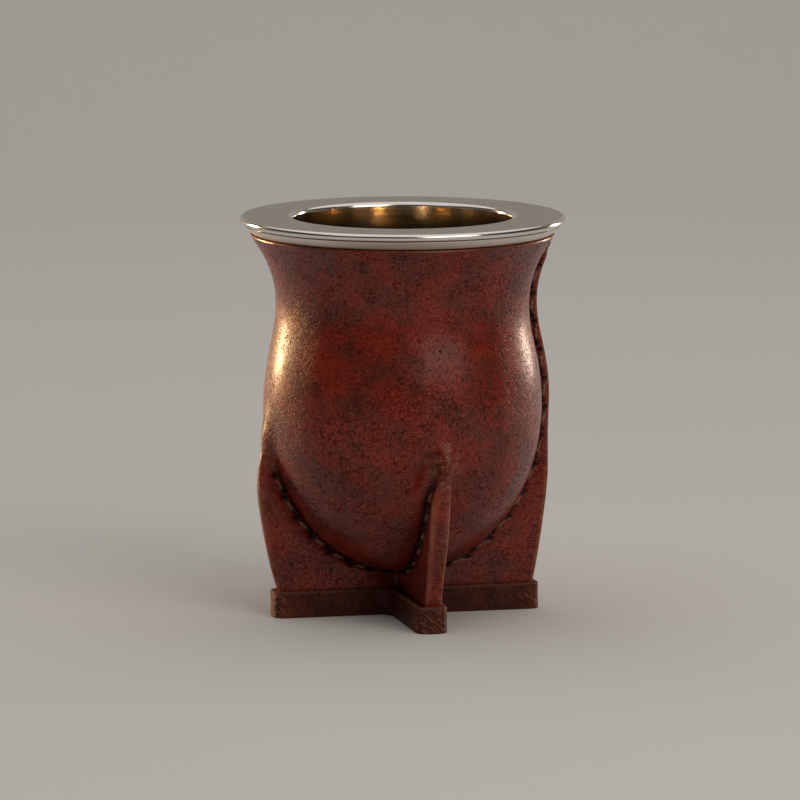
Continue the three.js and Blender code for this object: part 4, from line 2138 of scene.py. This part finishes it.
COVER_LEATHER = LeatherFinish(
    name="cover_leather",
    deep=(0.020, 0.0040, 0.0026, 1.0),
    dull=(0.118, 0.0150, 0.0064, 1.0),
    dye=(0.205, 0.0150, 0.0038, 1.0),
    bright=(0.290, 0.0580, 0.0230, 1.0),
    worn=(0.430, 0.1450, 0.0750, 1.0),
    raw=(0.270, 0.0900, 0.0380, 1.0),
    # crease: painted shade in the crease between fin and gourd
    crease=(0.005, 0.0014, 0.0011, 1.0),
)
BAND_LEATHER = LeatherFinish(
    name="band_leather",
    deep=(0.018, 0.0045, 0.0030, 1.0),
    dull=(0.046, 0.0108, 0.0064, 1.0),
    dye=(0.078, 0.0150, 0.0074, 1.0),
    bright=(0.240, 0.0600, 0.0260, 1.0),
    worn=(0.300, 0.0950, 0.0460, 1.0),
    raw=(0.120, 0.0480, 0.0230, 1.0),
    # crease: painted shade
    crease=(0.010, 0.0030, 0.0022, 1.0),
    cells=1250.0,
    wrinkle=0.5,
    roughness=0.56,
    sheen=0.12,
    gloss=0.12,
    shear=0.9,
)
# One steel throughout; painted reflection sets the colour of each stretch: the satin top is a darker copy,
# the skirt a much lighter copy, and the bore is tinted gold.
STEEL = {
    MetalPolish.SATIN: SteelFinish((0.46, 0.405, 0.35, 1.0), (0.35, 0.305, 0.26, 1.0), 5000.0),
    MetalPolish.SKIRT: SteelFinish((0.88, 0.82, 0.75, 1.0), (0.74, 0.68, 0.61, 1.0), 5000.0),
    MetalPolish.POLISHED: SteelFinish((0.82, 0.785, 0.735, 1.0), (0.76, 0.72, 0.67, 1.0)),
    MetalPolish.BORE: SteelFinish((0.66, 0.555, 0.39, 1.0), (0.42, 0.34, 0.225, 1.0), 2600.0),
}
LAMPS = (
    SoftLight(
        name="left_back", turn=-130.0, lift=8.0, away=1.5, size=(0.24, 0.44), watts=2.8,
        colour=(1.0, 0.63, 0.31), spread=60.0, cup_only=True,
    ),
    SoftLight(
        name="right_back", turn=136.0, lift=8.0, away=1.5, size=(0.2, 0.44), watts=1.1,
        colour=(1.0, 0.76, 0.60), spread=60.0, cup_only=True,
    ),
    SoftLight(
        name="front_key", turn=36.0, lift=28.0, away=1.3, size=(0.9, 0.9), watts=4.4,
        colour=(1.0, 0.92, 0.84),
    ),
    SoftLight(
        name="overhead", turn=180.0, lift=86.0, away=1.1, size=(2.4, 2.4), watts=12.5,
        colour=(1.0, 0.98, 0.95),
    ),
)


def main() -> None:
    """Build and dress every piece, then the studio."""
    logging.basicConfig(level=logging.INFO, format="%(name)s %(relativeCreated)d ms %(message)s")
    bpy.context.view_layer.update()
    grain, edge_breakup, lines = LeatherGrain().group(), BrokenEdge().group(), TurnedLines().group()
    shape = CoverShape()
    stitching = Stitching(shape)
    LeatherCover(shape, stitching.holes).build(COVER_LEATHER.material(grain, edge_breakup))
    stitching.build(ThreadFinish().material())
    FootBand().build(BAND_LEATHER.material(grain, edge_breakup))
    SteelCup().build({polish: finish.material(polish, lines) for polish, finish in STEEL.items()})
    studio = Studio(LAMPS)
    studio.floor(FloorFinish().material())
    studio.lights()
    studio.camera()
    bpy.context.scene.view_settings.view_transform = "Standard"


if __name__ == "__main__":
    main()
